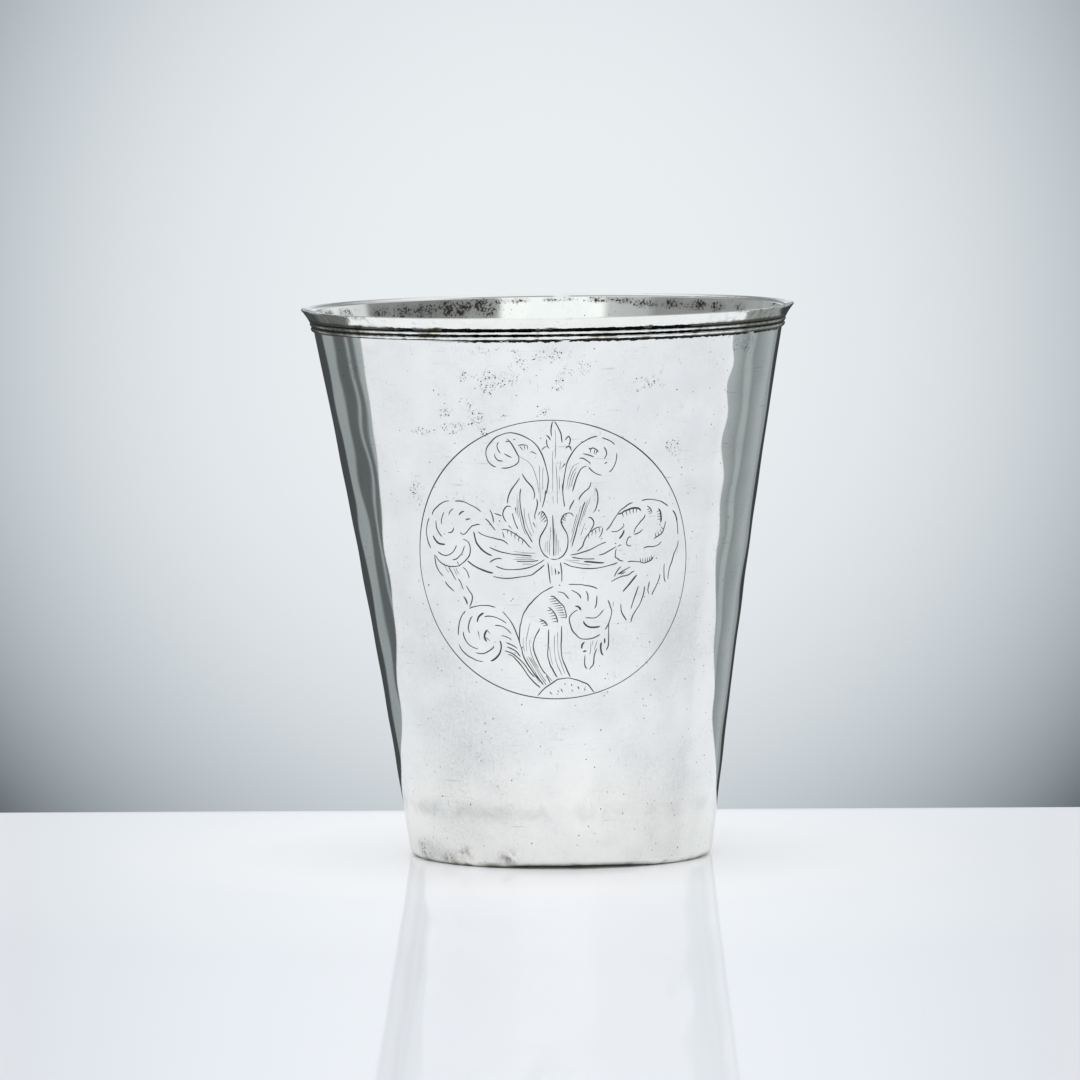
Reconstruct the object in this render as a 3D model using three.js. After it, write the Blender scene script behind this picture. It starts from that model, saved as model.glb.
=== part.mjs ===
// Silver beaker: a tapered cup of hammered sheet silver, open at the top and without a handle.
// A wedge-section lip moulding and two half-round reeds are soldered round the outside of the mouth,
// and a flat base disc is let in on the wall's turned-in foot edge and sealed with a solder fillet.
// Millimetres, +Z up. The origin is on the table, under the middle of the mouth.
import * as THREE from 'three';

// Driving dimensions of the cup
const height = 100; // table to the lip's edge
const rimDiameter = 86.6; // outside of the wall, carried up to the lip's height
const footDiameter = 54.8; // outside of the wall, carried down to the table
const wallHollow = 0.68; // how far the wall's line bows in from straight, halfway up
const sheet = 0.7; // thickness of the wall
const footBend = 0.8; // inside radius of the bend where the wall turns in to the foot
const seatWidth = 3.5; // flat ring of the turned-in edge, which the cup stands on
const mouthBevel = 0.6; // how far the mouth's inner edge lies below the lip's edge

// Mouldings round the mouth
const lipHeight = 2.05; // height of the lip moulding
const lipFoot = 0.4; // thickness of the lip moulding at its lower edge
const lipOverhang = 1.45; // how far the lip stands out beyond the wall's line
const lipHollow = 0.1; // hollow of the lip's flared face
const lipLand = 0.25; // narrow upright edge at the lip's tip
const reedHeight = 0.9; // height of one half-round reed
const reedProud = 0.42; // how far a reed stands out from the wall

// Base
const baseThickness = 0.8; // base disc
const filletLeg = 1.2; // solder fillet in the inside corner, along the wall and along the base

// Soldered joints
const solderFilm = 0.05; // film of solder between two soldered pieces

// The hand-made cup stands a little out of true
const footOffset = 2.05; // the foot's centre lies this far to +X of the mouth's centre
const rimTilt = THREE.MathUtils.degToRad(0.52); // the mouth dips towards -X

// Finishes of the silver
const polishedSheet = { color: 0xe9ebea, roughness: 0.14 };
const wornSheet = { color: 0xdcdedc, roughness: 0.25 };
const tarnishedWire = { color: 0xd9dad3, roughness: 0.2 };
const dullSolder = { color: 0xbdbcb4, roughness: 0.4 };

// Fineness of the revolved forms
const segments = 64; // steps round the cup
const wallSteps = 10; // steps up the wall
const bendSteps = 4; // steps round the foot's edge and the solder fillet
const mouldingSteps = 6; // steps round a reed
const flareSteps = 3; // steps up the lip's flare

// Outside of the wall at a height: a straight taper bowed in by wallHollow.
function wallRadius(z) {
  const t = z / height;
  const taper = THREE.MathUtils.lerp(footDiameter / 2, rimDiameter / 2, t);
  return taper - 4 * wallHollow * t * (1 - t);
}

// The foot's edge: an arc tangent to the table and to the wall, whose slope there is wallLean.
const wallLean = Math.atan((rimDiameter - footDiameter) / 2 / height - 4 * wallHollow / height);
const footEdge = footBend + sheet;
const edgeTop = footEdge * (1 - Math.sin(wallLean));
const edgeCentre = wallRadius(edgeTop) - footEdge * Math.cos(wallLean);
const bendTop = footEdge - footBend * Math.sin(wallLean);
const seatInner = edgeCentre - seatWidth;

// Inside of the cup at a height: the sheet's thickness in from the wall, or the bend above the seat.
function insideRadius(z) {
  return z < bendTop
    ? edgeCentre + Math.sqrt(footBend ** 2 - (footEdge - z) ** 2)
    : wallRadius(z) - sheet;
}

// The mouth's bevel falls evenly from the lip's tip to the wall's inner edge.
const lipTip = rimDiameter / 2 + lipOverhang;
const mouthInner = insideRadius(height - mouthBevel);
function bevelHeight(r) {
  return height - mouthBevel * (lipTip - r) / (lipTip - mouthInner);
}

const lipBottom = height - lipHeight;
const baseBottom = sheet + solderFilm;
const baseTop = baseBottom + baseThickness;

// Even steps from one value to another, both ends included.
function steps(from, to, count) {
  return Array.from({ length: count + 1 }, (_, i) => THREE.MathUtils.lerp(from, to, i / count));
}

// Arc in the section plane, from one angle to another.
function arc(r, z, radius, from, to, count) {
  return steps(from, to, count).map(
    (a) => new THREE.Vector2(r + radius * Math.cos(a), z + radius * Math.sin(a)),
  );
}

// Lets the cup settle out of true: the foot stays flat on the table and shifts, the mouth tips.
function settle(geometry) {
  const at = geometry.attributes.position;
  for (let i = 0; i < at.count; i += 1) {
    const share = at.getZ(i) / height;
    const x = at.getX(i);
    at.setX(i, x + footOffset * (1 - share));
    at.setZ(i, at.getZ(i) + share * x * Math.tan(rimTilt));
  }
  return geometry;
}

// Revolves a section round the cup's axis. A section is a list of (radius, height) points that runs
// anticlockwise and either closes on itself or starts and ends on the axis.
function revolve(section) {
  const geometry = new THREE.LatheGeometry(section, segments);
  geometry.rotateX(Math.PI / 2);
  return settle(geometry);
}

function closed(section) {
  return [...section, section[0].clone()];
}

// Wall: the foot's flat seat, the rounded edge, the bowed outside, the bevelled mouth and the inside.
function bodyWall() {
  const outerTop = bevelHeight(wallRadius(height));
  const outside = steps(edgeTop, outerTop, wallSteps).map((z) => new THREE.Vector2(wallRadius(z), z));
  const innerTop = height - mouthBevel;
  const inside = steps(innerTop, bendTop, wallSteps).map((z) => new THREE.Vector2(insideRadius(z), z));
  return revolve(closed([
    new THREE.Vector2(seatInner, 0),
    ...arc(edgeCentre, footEdge, footEdge, -Math.PI / 2, -wallLean, bendSteps).slice(0, -1),
    ...outside,
    ...inside,
    ...arc(edgeCentre, footEdge, footBend, -wallLean, -Math.PI / 2, bendSteps).slice(1),
    new THREE.Vector2(seatInner, sheet),
  ]));
}

// Lip moulding: a wedge-section wire, hollow on its flared face, flush with the mouth's bevel.
function lipMoulding() {
  const seat = (z) => wallRadius(z) + solderFilm;
  const flareFoot = seat(lipBottom) + lipFoot;
  const flare = steps(0, 1, flareSteps).map((t) => {
    const r = THREE.MathUtils.lerp(flareFoot, lipTip, t) - 4 * lipHollow * t * (1 - t);
    return new THREE.Vector2(r, THREE.MathUtils.lerp(lipBottom, height - lipLand, t));
  });
  const innerTop = bevelHeight(seat(height));
  return revolve(closed([
    new THREE.Vector2(seat(lipBottom), lipBottom),
    ...flare,
    new THREE.Vector2(lipTip, height),
    new THREE.Vector2(seat(innerTop), innerTop),
  ]));
}

// Reed: a half-round wire lying against the wall, counted downwards from the lip moulding.
function reed(place) {
  const top = lipBottom - place * reedHeight - solderFilm;
  const half = (reedHeight - solderFilm) / 2;
  const section = steps(-Math.PI / 2, Math.PI / 2, mouldingSteps).map((a) => {
    const z = top - half + half * Math.sin(a);
    return new THREE.Vector2(wallRadius(z) + solderFilm + reedProud * Math.cos(a), z);
  });
  return revolve(closed(section));
}

// Base disc: lies on the turned-in seat, its edge bevelled to clear the bend.
function basePlate() {
  return revolve([
    new THREE.Vector2(0, baseBottom),
    new THREE.Vector2(insideRadius(baseBottom) - solderFilm, baseBottom),
    new THREE.Vector2(insideRadius(baseTop) - solderFilm, baseTop),
    new THREE.Vector2(0, baseTop),
  ]);
}

// Solder fillet: a hollow-faced ring that fills the corner between the base disc and the wall.
function baseFillet() {
  const bottom = baseTop + solderFilm;
  const top = bottom + filletLeg;
  const wallFace = (z) => insideRadius(z) - solderFilm;
  const toe = wallFace(bottom) - filletLeg;
  const hollow = steps(0, Math.PI / 2, bendSteps).map((a) => new THREE.Vector2(
    THREE.MathUtils.lerp(toe, wallFace(top), Math.cos(a)),
    top - filletLeg * Math.sin(a),
  ));
  return revolve(closed([new THREE.Vector2(wallFace(bottom), bottom), ...hollow]));
}

function piece(name, geometry, finish) {
  const mesh = new THREE.Mesh(geometry, new THREE.MeshStandardMaterial({ ...finish, metalness: 1 }));
  mesh.name = name;
  return mesh;
}

const beaker = new THREE.Group();
beaker.name = 'silver_beaker';
beaker.add(
  piece('body_wall', bodyWall(), polishedSheet),
  piece('lip_moulding', lipMoulding(), polishedSheet),
  piece('upper_reed', reed(0), tarnishedWire),
  piece('lower_reed', reed(1), tarnishedWire),
  piece('base_plate', basePlate(), wornSheet),
  piece('base_solder_fillet', baseFillet(), dullSolder),
);

export default beaker;
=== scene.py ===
# Silver beaker: a hammered wall with an engraved flower roundel, a flared lip, two reeds and a let-in base.
import math
from functools import partial
import bpy
import numpy as np
from mathutils import Matrix, Vector
from mathutils.geometry import delaunay_2d_cdt


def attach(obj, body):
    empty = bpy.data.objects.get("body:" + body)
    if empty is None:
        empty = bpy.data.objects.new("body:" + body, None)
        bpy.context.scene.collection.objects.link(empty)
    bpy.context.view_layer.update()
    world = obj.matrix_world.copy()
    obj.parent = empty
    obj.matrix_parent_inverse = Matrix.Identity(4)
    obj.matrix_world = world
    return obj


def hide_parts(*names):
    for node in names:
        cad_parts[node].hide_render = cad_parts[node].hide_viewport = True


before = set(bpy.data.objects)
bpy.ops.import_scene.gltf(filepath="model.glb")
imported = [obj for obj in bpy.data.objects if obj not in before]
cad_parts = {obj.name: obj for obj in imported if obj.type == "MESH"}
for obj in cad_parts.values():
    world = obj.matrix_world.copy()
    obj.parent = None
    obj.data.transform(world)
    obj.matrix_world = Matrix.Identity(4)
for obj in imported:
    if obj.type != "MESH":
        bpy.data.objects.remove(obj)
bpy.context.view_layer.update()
scene = bpy.context.scene
scene.view_settings.view_transform = "Standard"
mm = 0.001
sharpAngle = math.radians(38)  # an edge that turns more than this stays sharp
print("frame loaded")

# The cup's sizes in millimetres, as in the solids
cup = {
    "height": 100.0,  # table to the lip's edge
    "rimDiameter": 86.6,  # outside of the wall at the lip's height
    "footDiameter": 54.8,  # outside of the wall at the table
    "wallHollow": 0.68,  # the wall's line bows in by this, halfway up
    "sheet": 0.7,  # thickness of the wall
    "footBend": 0.8,  # inside radius of the turned-in foot edge
    "seatWidth": 3.5,  # flat ring that the cup stands on
    "mouthBevel": 0.6,  # fall of the mouth's edge towards the inside
    "solderFilm": 0.05,
    "footOffset": 2.05,  # the foot stands this far to +X of the mouth
    "rimTilt": math.radians(0.52),  # the mouth dips towards -X
    "meanRadius": 36,  # of the wall, turns an angle into a length
    "columns": 256,  # steps round the cup
}
height = cup["height"]
film = cup["solderFilm"]


def wallRadius(z):
    # outside radius: a straight taper, bowed in by a parabola
    t = z / height
    return (cup["footDiameter"] * (1 - t) + cup["rimDiameter"] * t) / 2 - 4 * cup["wallHollow"] * t * (1 - t)


spreading = (cup["rimDiameter"] - cup["footDiameter"]) / 2
wallLean = math.atan(spreading / height - 4 * cup["wallHollow"] / height)
footEdge = cup["footBend"] + cup["sheet"]
edgeTop = footEdge * (1 - math.sin(wallLean))
edgeCentre = wallRadius(edgeTop) - footEdge * math.cos(wallLean)
bendTop = footEdge - cup["footBend"] * math.sin(wallLean)
seatInner = edgeCentre - cup["seatWidth"]


def insideRadius(z):
    # inside radius: the sheet's thickness in from the wall, or the bend's arc above the seat
    z = np.asarray(z, float)
    bend = edgeCentre + np.sqrt(np.maximum(cup["footBend"] ** 2 - (footEdge - z) ** 2, 0))
    return np.where(z < bendTop, bend, wallRadius(z) - cup["sheet"])


def settle(x, y, z):
    # the hand-made cup stands out of true: its foot shifts along X and its mouth tips
    share = z / height
    shifted = x + cup["footOffset"] * (1 - share)
    tipped = z + share * x * math.tan(cup["rimTilt"])
    return np.stack([shifted, y, tipped], -1) * mm


def turned(r, angle, z):
    # point of a form turned about the cup's axis: angle 0 faces -Y, and it grows towards +X
    r, angle, z = np.broadcast_arrays(r, angle, z)
    return settle(r * np.sin(angle), -r * np.cos(angle), z)


def ease(low, high, x):
    # smooth step from 0 at low to 1 at high
    t = np.clip((x - low) / (high - low), 0, 1)
    return t * t * (3 - 2 * t)


def hammerWaves(angle, z, seed, size, depth):
    # planishing marks: a sum of cosine waves of about one size that close round the cup, in millimetres
    angle, z = np.broadcast_arrays(angle, z)
    rng = np.random.default_rng(seed)
    mostTurns, mostRises, longest = 26, 13, 110  # waves tried round the cup and up it, and the longest in mm
    turns = np.arange(-mostTurns, mostTurns + 1)
    rises = np.arange(1, mostRises + 1) * 2 * math.pi / longest
    turn, rise = np.meshgrid(turns, rises)
    wave = np.hypot(turn / cup["meanRadius"], rise) * size / (2 * math.pi)
    keep = (wave > 0.75) & (wave < 1.25)
    turn, rise = turn[keep], rise[keep]
    phase = rng.uniform(0, 2 * math.pi, turn.size)
    total = np.zeros(angle.shape)
    for m, n, p in zip(turn, rise, phase):
        total += np.cos(m * angle + n * z + p)
    return depth * total / math.sqrt(turn.size / 2)


def roundCorners(section, radius):
    # section corners rounded by a quadratic curve that starts and ends one radius from the corner
    steps, most = 4, 0.45  # points on a corner, and the most of a side that it takes
    points = np.asarray(section, float)
    before = np.roll(points, 1, 0) - points
    after = np.roll(points, -1, 0) - points
    lengthBefore = np.linalg.norm(before, axis=1, keepdims=True)
    lengthAfter = np.linalg.norm(after, axis=1, keepdims=True)
    start = points + before / lengthBefore * np.minimum(radius, lengthBefore * most)
    end = points + after / lengthAfter * np.minimum(radius, lengthAfter * most)
    t = np.linspace(0, 1, steps)[None, :, None]
    curve = (1 - t) ** 2 * start[:, None] + 2 * t * (1 - t) * points[:, None] + t ** 2 * end[:, None]
    return curve.reshape(-1, 2)


columns = cup["columns"]
angles = np.linspace(-math.pi, math.pi, columns, endpoint=False)


def ringQuads(rows, closed):
    # faces between neighbouring rings, joined round the cup, and from the last ring to the first if closed
    row = np.arange(rows if closed else rows - 1)[:, None]
    column = np.arange(columns)[None, :]
    here = row * columns
    above = (row + 1) % rows * columns
    onward = (column + 1) % columns
    return np.stack([here + column, here + onward, above + onward, above + column], -1).reshape(-1, 4)


def makeMesh(name, points, quads, triangles=None):
    # puts whole arrays of corner points, four-sided and three-sided faces into a mesh
    triangles = np.zeros((0, 3), int) if triangles is None else triangles
    used, index = np.unique(np.concatenate([quads.ravel(), triangles.ravel()]), return_inverse=True)
    starts = np.concatenate([np.arange(len(quads)) * 4, quads.size + np.arange(len(triangles)) * 3])
    mesh = bpy.data.meshes.new(name)
    mesh.vertices.add(len(used))
    mesh.vertices.foreach_set("co", points[used].astype(np.float32).ravel())
    mesh.loops.add(len(index))
    mesh.loops.foreach_set("vertex_index", index.astype(np.int32))
    mesh.polygons.add(len(starts))
    mesh.polygons.foreach_set("loop_start", starts.astype(np.int32))
    mesh.update(calc_edges=True)
    mesh.shade_smooth()
    mesh.set_sharp_from_angle(angle=sharpAngle)
    return mesh, used


def paint(mesh, name, values):
    # a number at each corner point, which the material reads by name
    mesh.attributes.new(name, "FLOAT", "POINT").data.foreach_set("value", values.astype(np.float32).ravel())


def addPiece(mesh, material, node):
    piece = bpy.data.objects.new(mesh.name, mesh)
    scene.collection.objects.link(piece)
    mesh.materials.append(material)
    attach(piece, "root")
    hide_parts(node)
    print(mesh.name, len(mesh.vertices), "points")


def linear(hexColour):
    # sRGB hex to linear red, green, blue and opaque
    parts = [int(hexColour[i:i + 2], 16) / 255 for i in (0, 2, 4)]
    return tuple(c / 12.92 if c <= 0.04045 else ((c + 0.055) / 1.055) ** 2.4 for c in parts) + (1.0,)


def addNode(tree, kind, links=None, out=0, **settings):
    # one node with its settings, its sockets set or linked; gives back one of its outputs
    made = tree.nodes.new("ShaderNode" + kind)
    for key, value in settings.items():
        setattr(made, key, value)
    for socket, value in (links or {}).items():
        if isinstance(value, bpy.types.NodeSocket):
            tree.links.new(value, made.inputs[socket])
        else:
            made.inputs[socket].default_value = value
    return made.outputs[out] if len(made.outputs) else None


def perSize(size):
    # texture scale on coordinates in metres for a feature of this size in millimetres
    return 1000 / size


def startMaterial(name):
    material = bpy.data.materials.new(name)
    material.use_nodes = True
    material.node_tree.nodes.clear()
    add = partial(addNode, material.node_tree)
    return material, add, add("TexCoord", out="Object")


def blotches(add, place, size, low, high, detail=3.0, top=1.0):
    # cloudy patches of a size in millimetres: 0 where the cloud is below low, top where it is above high
    cloud = add("TexNoise", {"Vector": place, "Scale": perSize(size), "Detail": detail, "Distortion": 0.6})
    return add("MapRange", {"Value": cloud, "From Min": low, "From Max": high, "To Max": top})


def specks(add, place, spacing, radius):
    # specks of a radius in millimetres, one in each cell of a spacing
    cell = add("TexVoronoi", {"Vector": place, "Scale": perSize(spacing)})
    share = radius / spacing
    return add("MapRange", {"Value": cell, "From Min": share, "From Max": share * 0.6})


def layered(add, look, layers):
    # the clean silver with each finish laid over the ones before it, by its share
    colour = linear(look["silver"])
    for share, finish in layers:
        colour = add("Mix", {0: share, 6: colour, 7: linear(look[finish])}, 2, data_type="RGBA")
    return colour


def metalSurface(add, colour, roughness, bumps, relief, strength):
    # metal: the colour is the mirror's own tint, and the relief is in millimetres
    normal = add("Bump", {"Height": bumps, "Distance": relief * mm, "Strength": strength})
    shader = {"Base Color": colour, "Metallic": 1.0, "Roughness": roughness, "Normal": normal}
    add("OutputMaterial", {"Surface": add("BsdfPrincipled", shader)})


# Sheet silver, raised with a hammer and polished by hand: a bright neutral mirror with fine grey mottling,
# brown-black pits, hair scratches round the cup and black oxide in the engraved lines; painted shade greys
# it low on the left of the front
wallLook = {
    "silver": "faf9f6",
    "haze": "e9ebeb",
    "mottling": "aeb2b2",
    "smudgeAndShadeGrey": "a3a7a7",
    "hair": "8f9290",
    "pit": "42382f",
    "oxide": "24221f",
    "stain": "322b24",
    "smear": "8d867d",
    "footTarnish": "8f8870",
    "footSpot": "68625a",
    "roughness": 0.05,
    "hazeSize": 9.0,  # mm, as all sizes below
    "mottlingSize": 0.5,
    "mottlingPatch": 7.0,
    "streakSize": 0.9,
    "hairSize": 0.35,
    "hairPatch": 6.0,
    "hairRelief": 0.01,
    "pitSpacing": 0.6,
    "pitRadius": 0.18,
    "pitPatch": 1.7,
    "finePits": 0.55,  # a fine pit's size beside a pit's
    "raggedSize": 0.3,  # grain of a pit's edge
    "raggedReach": 0.4,
    "scatteredSpacing": 1.6,
    "scatteredRadius": 0.15,
    "scatteredPatch": 5.0,
    "stainSize": 0.42,
    "clumpSize": 2.0,
    "footSpotSize": 1.3,
    "footSpotTop": (5.0, 3.5),  # heights between which the foot's spots begin and are full
    "footTarnishSize": 3.0,
    "footTarnishTop": (1.2, 0.35),
    "smudgeHeight": 10.2,  # middle of the grey band above the foot
    "smudgeReach": (2.2, 0.5),
    "smudgeSize": 3.5,
    "reedLineReach": 0.6,  # depth of the black line under the lower reed
    "reedLineRagged": 0.7,
    "reedLinePatch": 4.0,
}


def polishGrain(add, place, upright, dullAndShade):
    # fine grains of old polish, in soft patches and in the dulled places; low on the left of the front these
    # places are painted shade
    patch = blotches(add, place, wallLook["mottlingPatch"], 0.4, 0.7, 3.0, 0.22)
    patch = add("Math", {0: dullAndShade, 1: 0.48, 2: patch}, operation="MULTIPLY_ADD")
    streak = blotches(add, upright, wallLook["streakSize"], 0.4, 0.7, 4.0, 0.5)
    grain = blotches(add, place, wallLook["mottlingSize"], 0.36, 0.74, 6.0)
    grain = add("Math", {0: grain, 1: streak}, operation="MAXIMUM")
    return add("Math", {0: grain, 1: patch}, operation="MULTIPLY")


def hairScratches(add, place, upright, roundCup):
    # patterns stretched along the wall's turn, and some upright ones, in patches
    hairAcross = blotches(add, roundCup, wallLook["hairSize"], 0.66, 0.75, 2.0)
    hairUp = blotches(add, upright, wallLook["hairSize"], 0.66, 0.74, 2.0)
    hair = add("Math", {0: hairAcross, 1: hairUp}, operation="MAXIMUM")
    patch = blotches(add, place, wallLook["hairPatch"], 0.42, 0.62, 3.0, 0.4)
    return add("Math", {0: hair, 1: patch}, operation="MULTIPLY")


def wallPits(add, place, spoiled, outside):
    # pits with uneven edges, crowded in the spoiled places and scattered elsewhere
    look = wallLook
    wobble = add("TexNoise", {"Vector": place, "Scale": perSize(look["raggedSize"]), "Detail": 2.0}, "Color")
    reach = look["raggedReach"] * mm
    uneven = add("VectorMath", {0: wobble, 1: (reach, reach, reach), 2: place}, operation="MULTIPLY_ADD")
    cloud = add("TexNoise", {"Vector": place, "Scale": perSize(look["pitPatch"]), "Detail": 4.0})
    crowd = add("Math", {0: spoiled, 1: cloud}, operation="ADD")
    crowd = add("MapRange", {"Value": crowd, "From Min": 1.0, "From Max": 1.15})
    crowd = add("Math", {0: crowd, 1: outside}, operation="MULTIPLY")
    fine = look["finePits"]
    closePits = specks(add, uneven, look["pitSpacing"], look["pitRadius"])
    finePits = specks(add, uneven, look["pitSpacing"] * fine, look["pitRadius"] * fine)
    closePits = add("Math", {0: closePits, 1: finePits}, operation="MAXIMUM")
    closePits = add("Math", {0: closePits, 1: crowd}, operation="MULTIPLY")
    scattered = specks(add, uneven, look["scatteredSpacing"], look["scatteredRadius"])
    patch = blotches(add, place, look["scatteredPatch"], 0.43, 0.5, 3.0, 0.9)
    scattered = add("Math", {0: scattered, 1: patch}, operation="MULTIPLY")
    return add("Math", {0: closePits, 1: scattered}, operation="MAXIMUM")


def mouthStain(add, place, spoiled, inside):
    # brown-black grains inside below the mouth, clumped together in a thin grey-brown smear
    clumps = add("TexNoise", {"Vector": place, "Scale": perSize(wallLook["clumpSize"]), "Detail": 3.0})
    mouth = add("Math", {0: inside, 1: spoiled}, operation="MULTIPLY")
    thick = {"Value": clumps, "From Min": 0.35, "From Max": 0.65, "To Min": 0.75, "To Max": 1.2}
    mouth = add("Math", {0: mouth, 1: add("MapRange", thick)}, operation="MULTIPLY")
    smear = add("MapRange", {"Value": mouth, "From Min": 0.4, "From Max": 1.0, "To Max": 0.6})
    grains = add("TexNoise", {"Vector": place, "Scale": perSize(wallLook["stainSize"]), "Detail": 5.0})
    stain = add("Math", {0: mouth, 1: 0.5, 2: grains}, operation="MULTIPLY_ADD")
    return smear, add("MapRange", {"Value": stain, "From Min": 0.84, "From Max": 0.95, "To Max": 0.93})


def footMarks(add, place, rise, spoiled, outside):
    # grey spots low on the wall, and olive tarnish on the turned edge of the foot
    start, full = wallLook["footSpotTop"]
    spots = add("MapRange", {"Value": rise, "From Min": start, "From Max": full})
    patch = blotches(add, place, wallLook["footSpotSize"], 0.4, 0.6, 5.0)
    for share in (spoiled, patch, outside):
        spots = add("Math", {0: spots, 1: share}, operation="MULTIPLY")
    start, full = wallLook["footTarnishTop"]
    edge = add("MapRange", {"Value": rise, "From Min": start, "From Max": full})
    patch = blotches(add, place, wallLook["footTarnishSize"], 0.47, 0.62, 5.0, 0.8)
    return spots, add("Math", {0: edge, 1: patch}, operation="MULTIPLY")


def smudgedBand(add, place, rise, across, outside):
    # a grey smudge round the wall above the foot, stronger on the left
    off = add("Math", {0: rise, 1: wallLook["smudgeHeight"]}, operation="SUBTRACT")
    off = add("Math", {0: off}, operation="ABSOLUTE")
    start, full = wallLook["smudgeReach"]
    band = add("MapRange", {"Value": off, "From Min": start, "From Max": full})
    fromRight = {"Value": across, "From Min": 0.012, "From Max": -0.02, "To Min": 0.2, "To Max": 0.36}
    patch = blotches(add, place, wallLook["smudgeSize"], 0.38, 0.66, 6.0)
    for share in (add("MapRange", fromRight), patch, outside):
        band = add("Math", {0: band, 1: share}, operation="MULTIPLY")
    return band


def reedOxide(add, place, rise, across, outside):
    # black line under the lower reed, with a ragged lower edge, worn away on the left
    ragged = add("TexNoise", {"Vector": place, "Scale": perSize(wallLook["reedLineRagged"]), "Detail": 3.0})
    top = lipBottom - 2 * reeds["height"]  # underside of the lower reed
    under = add("MapRange", {"Value": rise, "From Min": top - wallLook["reedLineReach"], "From Max": top})
    reach = add("Math", {0: ragged, 1: 1.1, 2: under}, operation="MULTIPLY_ADD")
    line = add("MapRange", {"Value": reach, "From Min": 0.98, "From Max": 1.08})
    kept = add("MapRange", {"Value": across, "From Min": -0.021, "From Max": -0.013})
    patch = blotches(add, place, wallLook["reedLinePatch"], 0.34, 0.42, 4.0)
    for share in (kept, patch, outside):
        line = add("Math", {0: line, 1: share}, operation="MULTIPLY")
    return line


def sheetSilver():
    look = wallLook
    material, add, place = startMaterial("hand_polished_sheet_silver")
    painted = ("rise", "inside", "burinLine", "spoiled", "dullAndShade")
    shares = [add("Attribute", out="Fac", attribute_name=name) for name in painted]
    rise, inside, burin, spoiled, dullAndShade = shares
    across = add("SeparateXYZ", {"Vector": place}, "X")
    outside = add("Math", {0: 1.0, 1: inside}, operation="SUBTRACT")
    upright = add("Mapping", {"Vector": place, "Scale": (1.0, 1.0, 0.07)})
    roundCup = add("Mapping", {"Vector": place, "Scale": (0.05, 0.05, 1.0)})
    haze = blotches(add, place, look["hazeSize"], 0.42, 0.75, 4.0, 0.5)
    # greyed in the dulled places: real dull patches, and painted shade low on the left of the front, for a
    # darker reflection
    dullAndShadeFilm = add("Math", {0: dullAndShade, 1: 0.24}, operation="MULTIPLY")
    mottling = polishGrain(add, place, upright, dullAndShade)
    hair = hairScratches(add, place, upright, roundCup)
    pits = wallPits(add, place, spoiled, outside)
    smear, stain = mouthStain(add, place, spoiled, inside)
    footSpots, edge = footMarks(add, place, rise, spoiled, outside)
    band = smudgedBand(add, place, rise, across, outside)
    line = add("MapRange", {"Value": burin, "From Min": 0.08, "From Max": 0.45, "To Max": 0.93})
    reedLine = reedOxide(add, place, rise, across, outside)
    oxide = add("Math", {0: line, 1: reedLine}, operation="MAXIMUM")
    # the smudged band's grey is also the painted shade in the dulled places
    colour = layered(add, look, [
        (haze, "haze"), (dullAndShadeFilm, "smudgeAndShadeGrey"), (mottling, "mottling"), (band, "smudgeAndShadeGrey"), (hair, "hair"),
        (pits, "pit"), (smear, "smear"), (stain, "stain"), (footSpots, "footSpot"), (edge, "footTarnish"),
        (oxide, "oxide"),
    ])
    dullest = add("Math", {0: pits, 1: stain}, operation="MAXIMUM")
    dullest = add("Math", {0: dullest, 1: oxide}, operation="MAXIMUM")
    satin = add("Math", {0: mottling, 1: 0.12, 2: look["roughness"]}, operation="MULTIPLY_ADD")
    roughness = add("Math", {0: dullest, 1: 0.3, 2: satin}, operation="MULTIPLY_ADD")
    scratches = add("TexNoise", {"Vector": roundCup, "Scale": perSize(look["hairSize"]), "Detail": 2.0})
    metalSurface(add, colour, roughness, scratches, look["hairRelief"], 0.12)
    return material


# Drawn silver wire, bent and soldered on: bright where it is rubbed, black oxide down in the crevices,
# turning olive towards the flanks, left and right of the front
wireLook = {
    "silver": "faf9f5",
    "haze": "ebebe8",
    "olive": "5b5642",
    "oxide": "0d0c0b",
    "roughness": 0.06,
    "hazeSize": 4.0,  # mm, as all sizes below
    "raggedSize": 1.3,
    "oliveSize": 6.0,
    "nickSpacing": 1.6,
    "nickRadius": 0.09,
    "nickPatch": 9.0,
    "relief": 0.02,
}


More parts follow.
